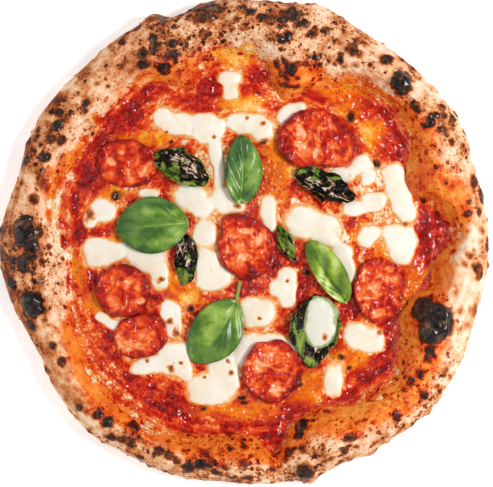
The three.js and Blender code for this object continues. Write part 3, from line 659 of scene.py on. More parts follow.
# A topping's outline is a few lobes, [x, y, half-length, half-width, turn in degrees], that flow together.
MOZZARELLA = [
    [[-10, 104, 8.5, 5, 0], [-9.5, 95, 5.5, 5.5, 0]],
    [[-48, 76.5, 11.5, 8.5, -6], [-41, 75, 8, 7, 0]],
    [[-25, 72.5, 9.5, 9.5, 0], [-18, 72, 5, 6, 0]],
    [[-19, 58, 4.5, 9, 0], [-17, 44, 3.5, 9, 0]],
    [[-3, 76, 9.5, 7.5, 0], [11, 71, 8, 9, -20]],
    [[26, 80, 7.5, 6.5, 40], [33, 85, 5, 3.5, 20]],
    [[-36, 29, 12, 10.5, 0], [-28, 22, 7, 6, 0]],
    [[-13, 27, 9, 8.5, 0], [-4, 23, 5, 4, 0]],
    [[-26, 6.5, 8.2, 9.5, 0]],
    [[-25, -10, 7.5, 7, 0], [-21, -21, 10.5, 9.5, 0]],
    [[14, 22, 6, 10, 0], [15, 12, 4, 5, 0]],
    [[33, 14, 11, 11, 0], [48, 9, 12, 10, -15]],
    [[77, 5, 7.5, 8, 0]],
    [[96, 3, 10.5, 10.5, 0], [98, -7, 7.5, 7, 0]],
    [[93, 42, 7, 10, 10], [97, 28, 7.5, 12, 12], [101, 19, 6, 6, 0]],
    [[61, 43, 8, 5.5, 0], [72, 49, 8, 6, 30], [77, 41, 5, 5, 0]],
    [[80, 26, 9.5, 6.5, 0], [67, 22, 7, 5, 10]],
    [[60, -9, 8, 8, 0], [65, -18, 4, 7, 0]],
    [[26, -22, 6.5, 7, 0], [20, -28, 5.5, 5, 0], [26, -33, 5.5, 7, 0]],
    [[7, -43, 11, 10.5, 0]],
    [[15, -66, 19, 9.5, -8], [-2, -70, 5, 9, 0], [32, -68, 6, 7, -40]],
    [[-23, -91, 15, 11, 5], [-15, -73, 9, 11, 0], [-9, -84, 5, 9, 0]],
    [[-60, -76, 13, 5.5, 8], [-45, -72, 10, 11, 0], [-38, -81, 5, 5, 0]],
    [[-47, -42, 6.5, 7.5, 0], [-46, -53, 5.5, 6.5, 0]],
    [[-92, -6, 10.5, 10, 0], [-81, -4, 7, 6, 0]],
    [[-63, -9, 13, 9, -8], [-54, -21, 6, 8.5, 0]],
    [[-90, 21, 8.5, 8.5, 0], [-98, 14, 4.5, 5, 0]],
    [[-61, 31, 7, 4, 0]],
    [[-90, -47, 5.5, 3.8, -30], [-83, -51, 5.5, 3.5, -20]],
    [[55, -85, 7.5, 13.5, 0]],
    [[70, -57, 9.5, 9.5, 0], [80, -60, 8.5, 9, 0]],
]


LOBE_STEEPNESS = 2.2


def fullness(lobes, x, y, squareness=2.0):
    """How strongly the lobes fill a point: 1 on the outline and more inside. A squareness of 2 gives
    ellipses, and more gives them corners."""
    total = 0
    for cx, cy, length, width, turn in lobes:
        cos, sin = np.cos(np.radians(turn)), np.sin(np.radians(turn))
        along = np.abs(((x - cx) * cos + (y - cy) * sin) / length) ** squareness
        across = np.abs(((y - cy) * cos - (x - cx) * sin) / width) ** squareness
        total = total + np.exp(LOBE_STEEPNESS * (1 - (along + across) ** (2 / squareness)))
    return total


def all_cheese(x, y, pieces):
    """How strongly pieces of cheese fill a point. Noise that they share tears their outlines."""
    tearing = np.exp(0.75 * crumble(flat_points(x, y), 9, 66))
    return tearing * sum(fullness(lobes, x, y, 2.5) for lobes in pieces)


SAUCE_COLUMNS = 640
SAUCE_ROWS = 146
SAUCE_REACH = 1.09  # how far out the film runs: 1 is the foot of the rim's slope
sauce_shares = np.linspace(SAUCE_REACH, 0.004, SAUCE_ROWS)
sauce_bearing, share = np.meshgrid(np.arange(SAUCE_COLUMNS) * 360 / SAUCE_COLUMNS, sauce_shares)
_, foot, height, crest = rim_at(sauce_bearing)
sauce_radius = foot * share
x, y = plan(sauce_bearing, sauce_radius)
flat = flat_points(x, y)
pool_and_shadow = blots(x, y, POOLS_AND_PAINTED_SHADOW, soften=0.6, wobble=0.4)
cheese_near = smoothstep(0.3, 1.0, all_cheese(x, y, MOZZARELLA))
milky = np.maximum(0.5 * cheese_near, 0.7 * blots(x, y, MILKY, soften=0.7, wobble=0.4)) * (1 - 0.3 * pool_and_shadow)
oily = blots(x, y, OILY, soften=0.7, wobble=0.4)
flecks = blots(x, y, FLECKS, soften=0.6, wobble=0.3, grain=2.5)
thin = smoothstep(0.97, 1.05, share) * np.maximum(0, 1 + swell(PALE_FILM_SWELLS, sauce_bearing))
# Pulp is lumpy, and noise on a short circle draws part of it out into strands that run round the pizza.
strand_x, strand_y = plan(sauce_bearing, 22)
round_way = np.stack([strand_x, strand_y, sauce_radius], axis=-1)
pulp = 0.25 * crumble(flat, 8, 21) + 0.22 * crumble(flat, 3.6, 22) + 0.3 * crumble(round_way, 4.4, 23)
pulp *= 0.7 + 1.1 * pool_and_shadow + 0.6 * smoothstep(0.8, 0.95, share)
level = sauce_top(x, y) + pulp * (1 - 0.6 * cheese_near) + 0.25 * flecks
climb = np.clip((sauce_radius - foot) / (crest - foot), 0, 1)
film = FILM - FILM_LOSS * np.maximum(share - 1, 0) + 0.55 * crumble(flat, 7, 24)
sauce_level = np.maximum(level, slope_height(height, climb) + film)
sauce_surface = np.stack([x, y, sauce_level], axis=-1)
# The underside rests just above the dough, and the film's edge turns down into the slope.
UNDER_LIFT = 0.1
EDGE_DIP = 1.2
under_shares = np.array([0.3, 0.6, 0.9, 1.0, SAUCE_REACH])[:, None]
under_radius = foot[0] * under_shares
under_climb = np.clip((under_radius - foot[0]) / (crest[0] - foot[0]), 0, 1)
under_level = slope_height(height[0], under_climb) + UNDER_LIFT - EDGE_DIP * (under_shares > 1)
sauce_under = np.stack([*plan(sauce_bearing[0], under_radius), under_level], axis=-1)
sauce_rings = np.concatenate([sauce_under, sauce_surface])


def with_underside(values):
    """The marks of the sauce's top, with zeros for its hidden underside."""
    return np.concatenate([np.zeros((len(under_shares), SAUCE_COLUMNS)), values])


sauce_middle = (0, 0, BASE_THICKNESS + UNDER_LIFT)
sauce_mesh = skin_mesh("sauce_skin", sauce_middle, sauce_rings, sauce_surface[-1].mean(axis=0), {
    "pool_and_shadow": with_underside(pool_and_shadow), "milky": with_underside(milky), "oily": with_underside(oily),
    "flecks": with_underside(flecks), "thin": with_underside(thin),
})

wet_sauce, tree, shader, place = material("wet_tomato_sauce")
pulp_grain = grain_of(tree, place, 200, 3)
clots = grain_of(tree, place, 80, 4, distortion=0.5)
fine = grain_of(tree, place, 600, 3)
strands = grain_of(tree, round_the_rim(tree, place), 250, 3)
# How thick the tomato lies: milk and cheese at 0, orange at a third, deep red at 1.
uneven = total(tree, -1.84, (clots, 0.85), (pulp_grain, 1.0), (fine, 0.75), (strands, 1.1))
smoother = total(tree, 1.0, (sum_of(tree, "MAXIMUM", mark(tree, "milky"), mark(tree, "oily")), -0.62))
uneven = node(tree, "Math", {0: uneven, 1: smoother}, operation="MULTIPLY").outputs[0]
# Pools push the tomato towards deep red, and so does the painted shadow listed among them.
tomato = total(
    tree, 0.47, (uneven, 1.0), (mark(tree, "pool_and_shadow"), 0.27), (mark(tree, "milky"), -0.44),
    (mark(tree, "thin"), -0.2),
)
colour = palette(
    tree, tomato, (0.0, (243, 234, 216)), (0.12, (246, 206, 160)), (0.24, (240, 142, 70)),
    (0.38, (230, 88, 28)), (0.56, (202, 38, 14)), (0.75, (158, 16, 8)), (1.0, (108, 8, 6)),
)
oil = total(tree, -0.6, (mark(tree, "oily"), 1.0), (pulp_grain, 1.2), (mark(tree, "thin"), 0.3))
colour = mixed(tree, ramp(tree, oil, 0.15, 0.85), colour, palette(
    tree, tomato, (0.0, (248, 226, 176)), (0.15, (250, 186, 82)), (0.34, (242, 142, 14)),
    (0.54, (226, 92, 12)), (0.75, (190, 42, 10)), (1.0, (116, 12, 7)),
))
pepper = use(tree, specks, {"Vector": place, "Grains": 560.0, "Density": 0.4})
colour = mixed(tree, sum_of(tree, "MULTIPLY", pepper, 0.7), colour, rgb(120, 22, 8))
scorch = total(tree, -0.2, (mark(tree, "flecks"), 1.0), (fine, 0.4))
colour = mixed(tree, sum_of(tree, "MULTIPLY", ramp(tree, scorch, 0.1, 0.5), 0.75), colour, rgb(150, 66, 18))
colour = mixed(tree, ramp(tree, scorch, 0.5, 1.0), colour, rgb(48, 20, 14))
folds = grain_of(tree, round_the_rim(tree, place, 0.05), 330, 1)
beads = grain_of(tree, place, 430, 0.5)
feed(shader, {
    "Base Color": colour, "Normal": bumps(tree, (folds, 0.8, 0.0018), (beads, 0.6, 0.0012)),
    "Roughness": ranged(tree, tomato, 0.2, 0.1, 0.3, 0.7), "Specular IOR Level": 0.35,
    "Subsurface Weight": 0.06, "Subsurface Radius": (0.003, 0.001, 0.0005), "Subsurface Scale": 1.0,
})

show("sauce_layer", sauce_mesh, wet_sauce, "tomato_sauce")


# ---- Mozzarella ----
# Torn pieces of fresh mozzarella, melted into smooth low domes whose thin edges sink into the sauce. They
# are creamy white, tinted orange by the oil at the edge, and a few have toasted flecks.
CHEESE_RISE = 1.3
CHEESE_DEPTH = 0.7  # of the hidden underside below the top of the sauce
EDGE_SINK = 0.35
CHEESE_COLUMNS = 150
# Rings from the hidden underside out to the edge and back over the top.
HIDDEN_SHARES = [0.4, 0.8]
CHEESE_SHARES = np.concatenate([HIDDEN_SHARES, 1 - np.linspace(0, 1, 34)[:-1] ** 1.4])
# Toasted flecks on the cheese: [x, y, half-length, half-width].
CHEESE_FLECKS = [
    [-48, -49, 2, 2], [-43.5, -56, 2, 2.2], [-53.5, -22.5, 2, 1.8], [-41, -75, 1.4, 1.2],
    [-47, -78.5, 1.6, 2.4], [-26, -84, 1.3, 1], [-9, -81, 1.6, 1.4], [-11.5, -74, 1.2, 1.2],
    [-31, -105, 2, 1.6], [-19, -106, 1.6, 1.4], [-62, -74, 1.2, 1.2], [84, -55.5, 2, 1.6],
    [49.5, -59, 1.5, 2.2], [26, -23.5, 1, 1], [8.5, -47, 1, 1], [-5, 23.5, 2, 1.8], [-98, 18, 3, 3.4],
    [11, 75.5, 1.4, 1.4], [12, 64, 2.6, 2], [1, 79, 1.2, 1], [-20, 67, 1.4, 1.4], [-84, 12, 1.6, 1.4],
    [-31, -7, 1.3, 1.3], [100, 12, 1.6, 1.4], [-50, 70, 1, 1],
]


def middle_of(lobes):
    """The lobes' common middle, weighted by their areas."""
    centres, areas = np.array(lobes)[:, :2], np.prod(np.array(lobes)[:, 2:4], axis=1)
    return (centres * areas[:, None]).sum(axis=0) / areas.sum()


FARTHEST = 60.0  # further from a topping's middle than any of its outline


def reach_of(full, middle, turn, outline):
    """Distance from the middle to where the fullness falls to the outline's, by halving."""
    inside, outside = np.zeros_like(turn), np.full_like(turn, FARTHEST)
    for _ in range(14):
        radius = (inside + outside) / 2
        held = full(middle[0] + radius * np.cos(turn), middle[1] + radius * np.sin(turn)) > outline
        inside, outside = np.where(held, radius, inside), np.where(held, outside, radius)
    return inside


def disc_grid(full, middle, shares, columns, outline=1.0):
    """Plan of a topping in rings: each is a share of the way from its middle to its outline."""
    turn, part = np.meshgrid(np.arange(columns) * 2 * np.pi / columns, shares)
    radius = reach_of(full, middle, turn[0], outline)
    return middle[0] + radius * part * np.cos(turn), middle[1] + radius * part * np.sin(turn), part


def disc_ends(middle, rings):
    """The lone points that close a disc: over its middle, as high as its first and its last ring."""
    return [(*middle, ring[:, 2].mean()) for ring in (rings[0], rings[-1])]


def cheese_mesh(name, lobes, lift=0.0, outline=0.8, pieces=MOZZARELLA):
    """A melted dome: its height falls off with the share of the way to the outline, worked out from all the
    pieces together so that neighbours flow into each other, and its edge sinks just under the sauce."""
    def own(x, y):
        return np.minimum(all_cheese(x, y, pieces), 1.3 * all_cheese(x, y, [lobes]))

    middle = middle_of(lobes)
    x, y, part = disc_grid(own, middle, CHEESE_SHARES, CHEESE_COLUMNS, outline)
    strength = all_cheese(x, y, pieces)
    flat = flat_points(x, y)
    way_out = np.clip((1 - np.log(strength) / LOBE_STEEPNESS) / 1.12, 0, 1)
    dome = CHEESE_RISE * (1 - way_out**1.5)
    uneven = (0.3 * noise(flat, 12, 61) + 0.1 * noise(flat, 5, 62)) * (1 - way_out)
    ground = sauce_top(x, y) + lift
    level = ground + dome + uneven - EDGE_SINK * part**10
    hidden = len(HIDDEN_SHARES)
    level[:hidden] = ground[:hidden] - CHEESE_DEPTH
    rings = np.stack([x, y, level], axis=-1)
    first, last = disc_ends(middle, rings)
    flecks = blots(x, y, CHEESE_FLECKS, soften=0.95, wobble=0.35, grain=2.5)
    marks = {"edge": smoothstep(2.7, 0.8, strength), "leafy": 0 * part + (lift > 0), "flecks": flecks}
    return skin_mesh(name, first, rings, last, marks)


melted_cheese, tree, shader, place = material("melted_mozzarella")
cloud = grain_of(tree, place, 70, 3)
curd = grain_of(tree, place, 330, 3)
# From the creamy middle to the edge, where it is thin and the sauce shows through.
thinned = total(tree, -0.55, (mark(tree, "edge"), 0.9), (curd, 0.9), (cloud, 0.4))
cream = mixed(tree, ramp(tree, cloud, 0.35, 0.7), rgb(246, 239, 228), rgb(239, 226, 204))
cream = mixed(tree, mark(tree, "leafy"), cream, rgb(228, 226, 212))
thin_cream = mixed(tree, mark(tree, "leafy"), rgb(246, 200, 142), rgb(208, 214, 182))
colour = mixed(tree, ramp(tree, thinned, 0.15, 0.6), cream, thin_cream)
oily_edge = mixed(tree, mark(tree, "leafy"), rgb(240, 150, 76), rgb(146, 160, 104))
colour = mixed(tree, ramp(tree, thinned, 0.6, 0.95), colour, oily_edge)
drops = use(tree, specks, {"Vector": place, "Grains": 230.0, "Density": 0.1})
colour = mixed(tree, sum_of(tree, "MULTIPLY", drops, 0.6), colour, rgb(238, 166, 80))
scorch = total(tree, -0.4, (mark(tree, "flecks"), 1.0), (grain_of(tree, place, 700), 0.6))
colour = mixed(tree, sum_of(tree, "MULTIPLY", ramp(tree, scorch, 0.05, 0.45), 0.9), colour, rgb(228, 132, 28))
colour = mixed(tree, sum_of(tree, "MULTIPLY", ramp(tree, scorch, 0.4, 0.9), 0.9), colour, rgb(112, 34, 3))
feed(shader, {
    "Base Color": colour, "Normal": bumps(tree, (curd, 0.12, 0.0006)),
    "Roughness": ranged(tree, curd, 0.32, 0.5),
    "Subsurface Weight": 0.2, "Subsurface Radius": (0.003, 0.0022, 0.0014), "Subsurface Scale": 1.0,
})

for number, lobes in enumerate(MOZZARELLA, start=1):
    name = f"mozzarella_{number:02d}"
    show("melted_" + name, cheese_mesh(name + "_skin", lobes), melted_cheese, name)


# ---- Nduja slices ----
# Slices of soft spiced pork sausage, cut a few millimetres thick. Baking curls the rim up a little. The
# meat is orange red, marbled with pale pink fat, with a dark glossy edge.
SLICE_BED = 0.18  # the underside's clearance above the sauce
SLICE_COLUMNS = 130
# Where red sauce has run over the slices: [x, y, half-length, half-width].
SAUCED = [
    [-63, -49, 13, 7], [-54, -58, 4, 7], [-91, -36, 3, 7], [-62, -38, 3, 5], [-91, 57, 3, 6], [26, 58, 5, 9],
    [58, 66, 6, 6], [-12, -2, 4, 9], [2, -19, 8, 4], [29, -88, 5, 7],
]
# Large lumps of pale fat that show in their cut faces, in the same form.
FATTY = [
    [-84, 50, 3, 2.4], [-75, 45, 2.4, 2.4], [-78, 57, 2.4, 2], [-65, 45.5, 3, 3], [35, 69, 3, 5],
    [33, 62, 3, 3], [45, 66, 1.6, 6], [44, 57, 2, 3], [53, 62, 3, 3], [0, -9, 6, 2.4], [1, 8, 5, 2],
    [8, 3, 2, 4], [-12, -3, 2, 4], [84, -43, 4.5, 3], [76, -36, 2, 4], [90, -16, 2.4, 2],
    [82, -26.5, 3.6, 2], [73.5, -20, 1.6, 2.4], [9, -77, 4.6, 3], [21, -89, 5, 2.6], [30, -83, 2, 3],
    [16, -70, 2, 2], [-76, -25, 4, 2.6], [-68, -29, 2, 4], [-67, -36, 3, 2], [-74, -65, 4, 3],
    [-79, -61, 2, 3], [-67, -65, 4, 2], [78, -27, 2, 1.6], [4, -86, 2, 1.6],
]
SLICES = [
    {"lobes": [[-75, 50.5, 18.5, 15.5, -5]], "lift": 0.3},
    {"lobes": [[41, 66, 21, 17.5, 5], [58, 60, 12, 11, 0]], "lift": 1.4},
    {"lobes": [[1, -3, 17.5, 19, 0], [-8, 11, 6.5, 6.5, 0]], "lift": 0.7},
    {"lobes": [[83, -29, 15, 20, 0]], "lift": 0.7},
    {"lobes": [[16, -80, 18, 19.2, 0]], "lift": 1.6},
    {"lobes": [[-66, -58, 17, 13.5, 12]], "lift": 0.2},
    {"lobes": [[-77, -29.5, 16.5, 16, 0]], "lift": 1.6},
]
# From the hidden underside round the edge to the middle: [share of the outline, height, how much of a rim].
SLICE_PROFILE = np.array([
    [0.5, 0, 0], [0.95, 0, 0], [1.01, 0.1, 1], [1.03, 0.4, 1], [1.035, 0.8, 1], [1.03, 1.3, 1],
    [1.02, 1.8, 1], [1.005, 2.3, 1], [0.99, 2.7, 1], [0.965, 2.95, 1], [0.94, 3.05, 0.9], [0.915, 3.02, 0.7],
    *[[part, 2.55 + 0.45 * part**6, max(0, 6 * part - 4.9)] for part in np.linspace(0.89, 0.03, 34)],
])


def slice_mesh(name, lobes, lift, seed):
    """A thick disc with a rounded edge. Its top is dished, and lumps of meat and fat stand out of it."""
    middle = middle_of(lobes)

    def cut_round(x, y):
        return fullness(lobes, x, y) * np.exp(0.25 * crumble(flat_points(x, y), 7, 74 + seed, 2))

    x, y, part = disc_grid(cut_round, middle, SLICE_PROFILE[:, 0], SLICE_COLUMNS)
    heights = SLICE_PROFILE[:, 1][:, None] + 0 * part
    rim = SLICE_PROFILE[:, 2][:, None] + 0 * part
    flat = flat_points(x, y, 7.0 * seed)
    lumps = 0.55 * crumble(flat, 6, 71) + 0.2 * noise(flat, 2.2, 72)
    wave = 0.35 * noise(flat, 16, 73)
    level = sauce_top(x, y) + SLICE_BED + lift * smoothstep(-0.1, 0.5, heights) + heights
    level = level + smoothstep(1.5, 2.5, heights) * (lumps + wave)
    rings = np.stack([x, y, level], axis=-1)
    first, last = disc_ends(middle, rings)
    return skin_mesh(name, first, rings, last, {
        "rim": rim, "sauced": blots(x, y, SAUCED, soften=0.6, wobble=0.5),
        "fatty": blots(x, y, FATTY, soften=0.4, wobble=0.5, grain=4),
    })


nduja, tree, shader, place = material("nduja")
meat_grain = grain_of(tree, place, 420, 2)
minced = grain_of(tree, place, 65, 2, distortion=0.8)
lard = grain_of(tree, place, 115, 1.5, distortion=1.2)
# How lean the meat is: fat at 0, orange at a third, dark red at 1.
lean = total(
    tree, -0.8, (minced, 0.8), (lard, 1.25), (meat_grain, 0.5), (mark(tree, "fatty"), -0.32),
    (mark(tree, "sauced"), 0.2), (mark(tree, "rim"), 0.2),
)
colour = palette(
    tree, lean, (0.0, (246, 184, 146)), (0.16, (242, 148, 92)), (0.32, (238, 104, 36)), (0.5, (214, 54, 16)),
    (0.68, (170, 22, 9)), (1.0, (104, 9, 6)),
)
beads = grain_of(tree, place, 400, 1)
feed(shader, {
    "Base Color": colour, "Normal": bumps(tree, (lard, 0.7, 0.0025), (beads, 0.6, 0.0014)),
    "Roughness": ranged(tree, meat_grain, 0.07, 0.2, 0.35, 0.65), "Specular IOR Level": 0.36,
    "Subsurface Weight": 0.06, "Subsurface Radius": (0.004, 0.0012, 0.0006), "Subsurface Scale": 1.0,
})

for number, piece in enumerate(SLICES, start=1):
    name = f"nduja_slice_{number}"
    mesh = slice_mesh(name + "_skin", piece["lobes"], piece["lift"], number)
    show("baked_" + name, mesh, nduja, name)


# ---- Baked basil ----
# Five basil leaves went into the oven on the pizza. They are shrivelled into glossy black and dark green
# crumples. One cradles a piece of mozzarella.
WILTED_THICKNESS = 1.0  # of the plain solid, and BLADE_THICKNESS of the skin
BLADE_THICKNESS = 0.55
FRAY = 1.9
# A leaf runs from its base to its tip. halves are its widths on the left and the right of the midrib, skew
# shifts the widest place, and a low bluntness fills out the ends. bend bows the midrib, fold tilts the halves
# up and arch lifts the middle. Green parts, and patches of painted sheen, a pale highlight painted into the
# colour, are [x, y, half-length, half-width], and margin says how green the edge is.
WILTED_LEAVES = [
    {"base": [-57, 55], "tip": [-23.5, 39], "halves": [9, 11], "skew": 1, "bluntness": 0.5, "bend": 2,
     "fold": 0.12, "arch": 2.2,
     "green": [[-48, 43, 8, 6], [-57, 55, 3, 2], [-38, 37, 9, 2.4], [-26, 36, 2, 4]], "margin": 0.6,
     "painted_sheen": [[-42, 53, 5, 3], [-36, 48, 6, 3.5], [-30, 43, 5, 4]]},
    {"base": [31, 46], "tip": [68, 29], "halves": [9, 10], "skew": 0.9, "bluntness": 0.6, "bend": -1,
     "fold": 0.1, "arch": 2.2, "green": [[36, 46, 3, 2], [44, 45, 2, 4], [56, 41, 5, 1.4]], "margin": 0.3,
     "painted_sheen": [[43, 39, 5, 3], [50, 41, 5, 2.4], [52, 34, 6, 3], [38, 35, 2, 3], [60, 30, 4, 2]]},
    {"base": [-38, 5], "tip": [-39, -27], "halves": [6.5, 8], "skew": 0.92, "bluntness": 0.7, "bend": 1.5,
     "fold": 0.1, "arch": 1.6, "green": [[-41, -21, 6, 7]], "margin": 0.2,
     "painted_sheen": [[-39, -4, 4, 5], [-36, -12, 3, 3]]},
    {"base": [21, 11], "tip": [31, -10.5], "halves": [6, 4.5], "skew": 0.92, "bluntness": 0.7, "bend": -2,
     "fold": 0.1, "arch": 1.2, "green": [[23, 4, 4, 9], [29, -6, 3, 4]], "margin": 0.7,
     "painted_sheen": [[25, -5, 3, 6]]},
    {"base": [44, -31], "tip": [41, -77.5], "halves": [16, 15], "skew": 0.95, "bluntness": 0.72, "bend": 0,
     "fold": 0.16, "arch": 0,
     "green": [[34, -62, 3, 8], [31, -50, 1.4, 6], [41, -75, 4, 3], [57, -50, 2, 12]], "margin": 0.3,
     "painted_sheen": [[47, -68, 6, 4], [33, -44, 2, 5]],
     "cradle": [[47.5, -46, 9.6, 11.5, 0], [46.5, -56, 9.2, 8.5, 0]]},
]


def leaf_plan(leaf, share, side):
    """Plan of a leaf: its midrib runs from base to tip with a bow, and side runs from 1 on the left edge to
    -1 on the right one. The width swells from each end by the sine of the share."""
    base, tip = np.array(leaf["base"], float), np.array(leaf["tip"], float)
    along = tip - base
    length = np.hypot(*along)
    across = np.array([-along[1], along[0]]) / length
    blade = np.clip(share, 0, 1)
    wide = np.maximum(0.03, np.sin(np.pi * np.clip(blade, 1e-6, 1) ** leaf["skew"]) ** leaf["bluntness"])
    half = np.where(side > 0, leaf["halves"][0], leaf["halves"][1])
    reached = side * wide * half
    bow = 4 * leaf["bend"] * blade * (1 - blade)
    stalk_end = np.array(leaf.get("stalk_end", base), float)
    stalk = np.clip(-share, 0, 1)[..., None]
    middle = base + along * blade[..., None] * (1 - stalk) + (stalk_end - base) * stalk
    reached = np.where(share < 0, side * 1.05, reached)
    notch = leaf.get("notch", 0) * np.abs(side) * np.clip(1 - share / 0.25, 0, 1) * (share > 0)
    point = middle + across * (bow + reached)[..., None] - (along / length) * notch[..., None]
    return point[..., 0], point[..., 1], reached


def leaf_rings(x, y, level, thickness):
    """Rings round a thin blade: the upper face from left to right, then the lower face back again."""
    upper = np.stack([x, y, level + thickness], axis=-1)
    lower = np.stack([x, y, level], axis=-1)[:, ::-1]
    return np.concatenate([upper, lower], axis=1)


def doubled(values):
    """Marks of the upper face, repeated backwards for the lower one."""
    return np.concatenate([values, values[:, ::-1]], axis=1)


def fitted(solid, level, thickness):
    """Shifts a leaf up or down so that the middle of its height is where its solid has it."""
    low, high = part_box(solid)
    return level + (low.z + high.z) / 2 * 1000 - (level.min() + level.max() + thickness) / 2


def wilted_mesh(name, solid, leaf, seed):
    """A shrivelled blade. Noise that is stretched along the leaf folds it lengthwise, finer noise crumples
    it, and noise that grows towards its edges frays them in plan. Its marks down and over give the place
    on the leaf, drawn out lengthwise, for the wrinkles of the skin."""
    share, side = np.meshgrid(np.linspace(0.01, 0.99, 120), np.linspace(1, -1, 71), indexing="ij")
    x, y, reached = leaf_plan(leaf, share, side)
    length = np.hypot(*np.subtract(leaf["tip"], leaf["base"]))
    own = flat_points(share * length, reached, 11.0 * seed)
    x = x + FRAY * side**2 * noise(own, 4.5, 81)
    y = y + FRAY * side**2 * noise(own, 4.5, 85)
    folds = 1 - 2 * np.abs(noise(own / (4, 1, 1), 4.5, 82))
    crumple = 0.9 * noise(own, 8, 83) + 1.5 * folds + 0.25 * noise(own, 2.2, 84)
    level = leaf["arch"] * np.sin(np.pi * share) + leaf["fold"] * np.abs(reached) + crumple
    if leaf.get("cradle"):
        held = smoothstep(0.2, 1.2, fullness(leaf["cradle"], x, y))
        level = level * (1 - held) + (level.min() - 0.2) * held
    level = fitted(solid, level, WILTED_THICKNESS)
    rings = leaf_rings(x, y, level, BLADE_THICKNESS)
    margin = leaf["margin"] * smoothstep(0.72, 0.95, np.abs(side))
    green = np.maximum(blots(x, y, leaf["green"], soften=0.6, wobble=0.5, grain=4), margin)
    marks = {
        "green": doubled(green), "fold": doubled(folds),
        "down": doubled(0.00045 * share * length + 0.1 * seed), "over": doubled(0.001 * reached),
        "painted_sheen": doubled(blots(x, y, leaf["painted_sheen"], soften=0.6, wobble=0.5, grain=4)),
    }
    return skin_mesh(name, rings[0].mean(axis=0), rings, rings[-1].mean(axis=0), marks)


burnt_basil, tree, shader, place = material("baked_basil")
# The skin's wrinkles run down the leaf, so their noise is drawn out that way.
down_the_leaf = node(tree, "CombineXYZ", {0: mark(tree, "down"), 1: mark(tree, "over")}).outputs[0]
streaks = grain_of(tree, place, 380)
crinkle = grain_of(tree, down_the_leaf, 430, 2, distortion=1.4)
painted_crest_highlight = ramp(tree, mark(tree, "fold"), 0.4, 0.9)
# How much light the charred skin catches, painted into its colour: black at 0, brown at a half, a painted
# pale sheen at 1. The fold crests and the patches of painted sheen raise it.
catch = total(
    tree, -1.76, (crinkle, 2.9), (mark(tree, "fold"), 0.26), (mark(tree, "painted_sheen"), 0.4), (streaks, 0.4),
)
black_with_painted_sheen = palette(
    tree, catch, (0.0, (4, 4, 3)), (0.26, (12, 10, 6)), (0.4, (70, 46, 22)), (0.55, (150, 112, 82)),
    (0.78, (234, 214, 204)),
)
leafy = mixed(tree, ramp(tree, crinkle, 0.35, 0.65), rgb(20, 40, 9), rgb(116, 142, 42))
# Fold crests get a lighter green as a painted highlight.
leafy = mixed(tree, sum_of(tree, "MULTIPLY", painted_crest_highlight, 0.7), leafy, rgb(150, 168, 78))
green = use(tree, ragged, {
    "Mask": mark(tree, "green"), "Vector": place, "Grains": 220.0, "Raggedness": 0.5,
})
feed(shader, {
    "Base Color": mixed(tree, green, black_with_painted_sheen, leafy), "Normal": bumps(tree, (crinkle, 0.8, 0.0018)),
    "Roughness": ranged(tree, streaks, 0.06, 0.14, 0.4, 0.65), "Specular IOR Level": 0.16,
})

for number, leaf in enumerate(WILTED_LEAVES, start=1):
    name = f"wilted_basil_{number}"
    mesh = wilted_mesh(name + "_skin", name, leaf, number)
    show("shrivelled_" + name, mesh, burnt_basil, name)

# The mozzarella in the last leaf lies above the blade.
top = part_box("mozzarella_in_leaf")[1].z * 1000
in_leaf = WILTED_LEAVES[-1]["cradle"]
lift = top - sauce_top(*middle_of(in_leaf)) - CHEESE_RISE
in_leaf_mesh = cheese_mesh("mozzarella_in_leaf_skin", in_leaf, lift, 0.6, [in_leaf])
show("melted_mozzarella_in_leaf", in_leaf_mesh, melted_cheese, "mozzarella_in_leaf")


# ---- Fresh basil ----
# Four fresh leaves, laid on after baking. The blades are thin, arched and quilted between the veins, bright
# green and waxy. One still has its stalk.
LEAF_THICKNESS = 0.8  # of the plain solid, and FRESH_THICKNESS of the skin
FRESH_THICKNESS = 0.35
STALK_THICKNESS = 1.05
VEIN_PAIRS = 3.2
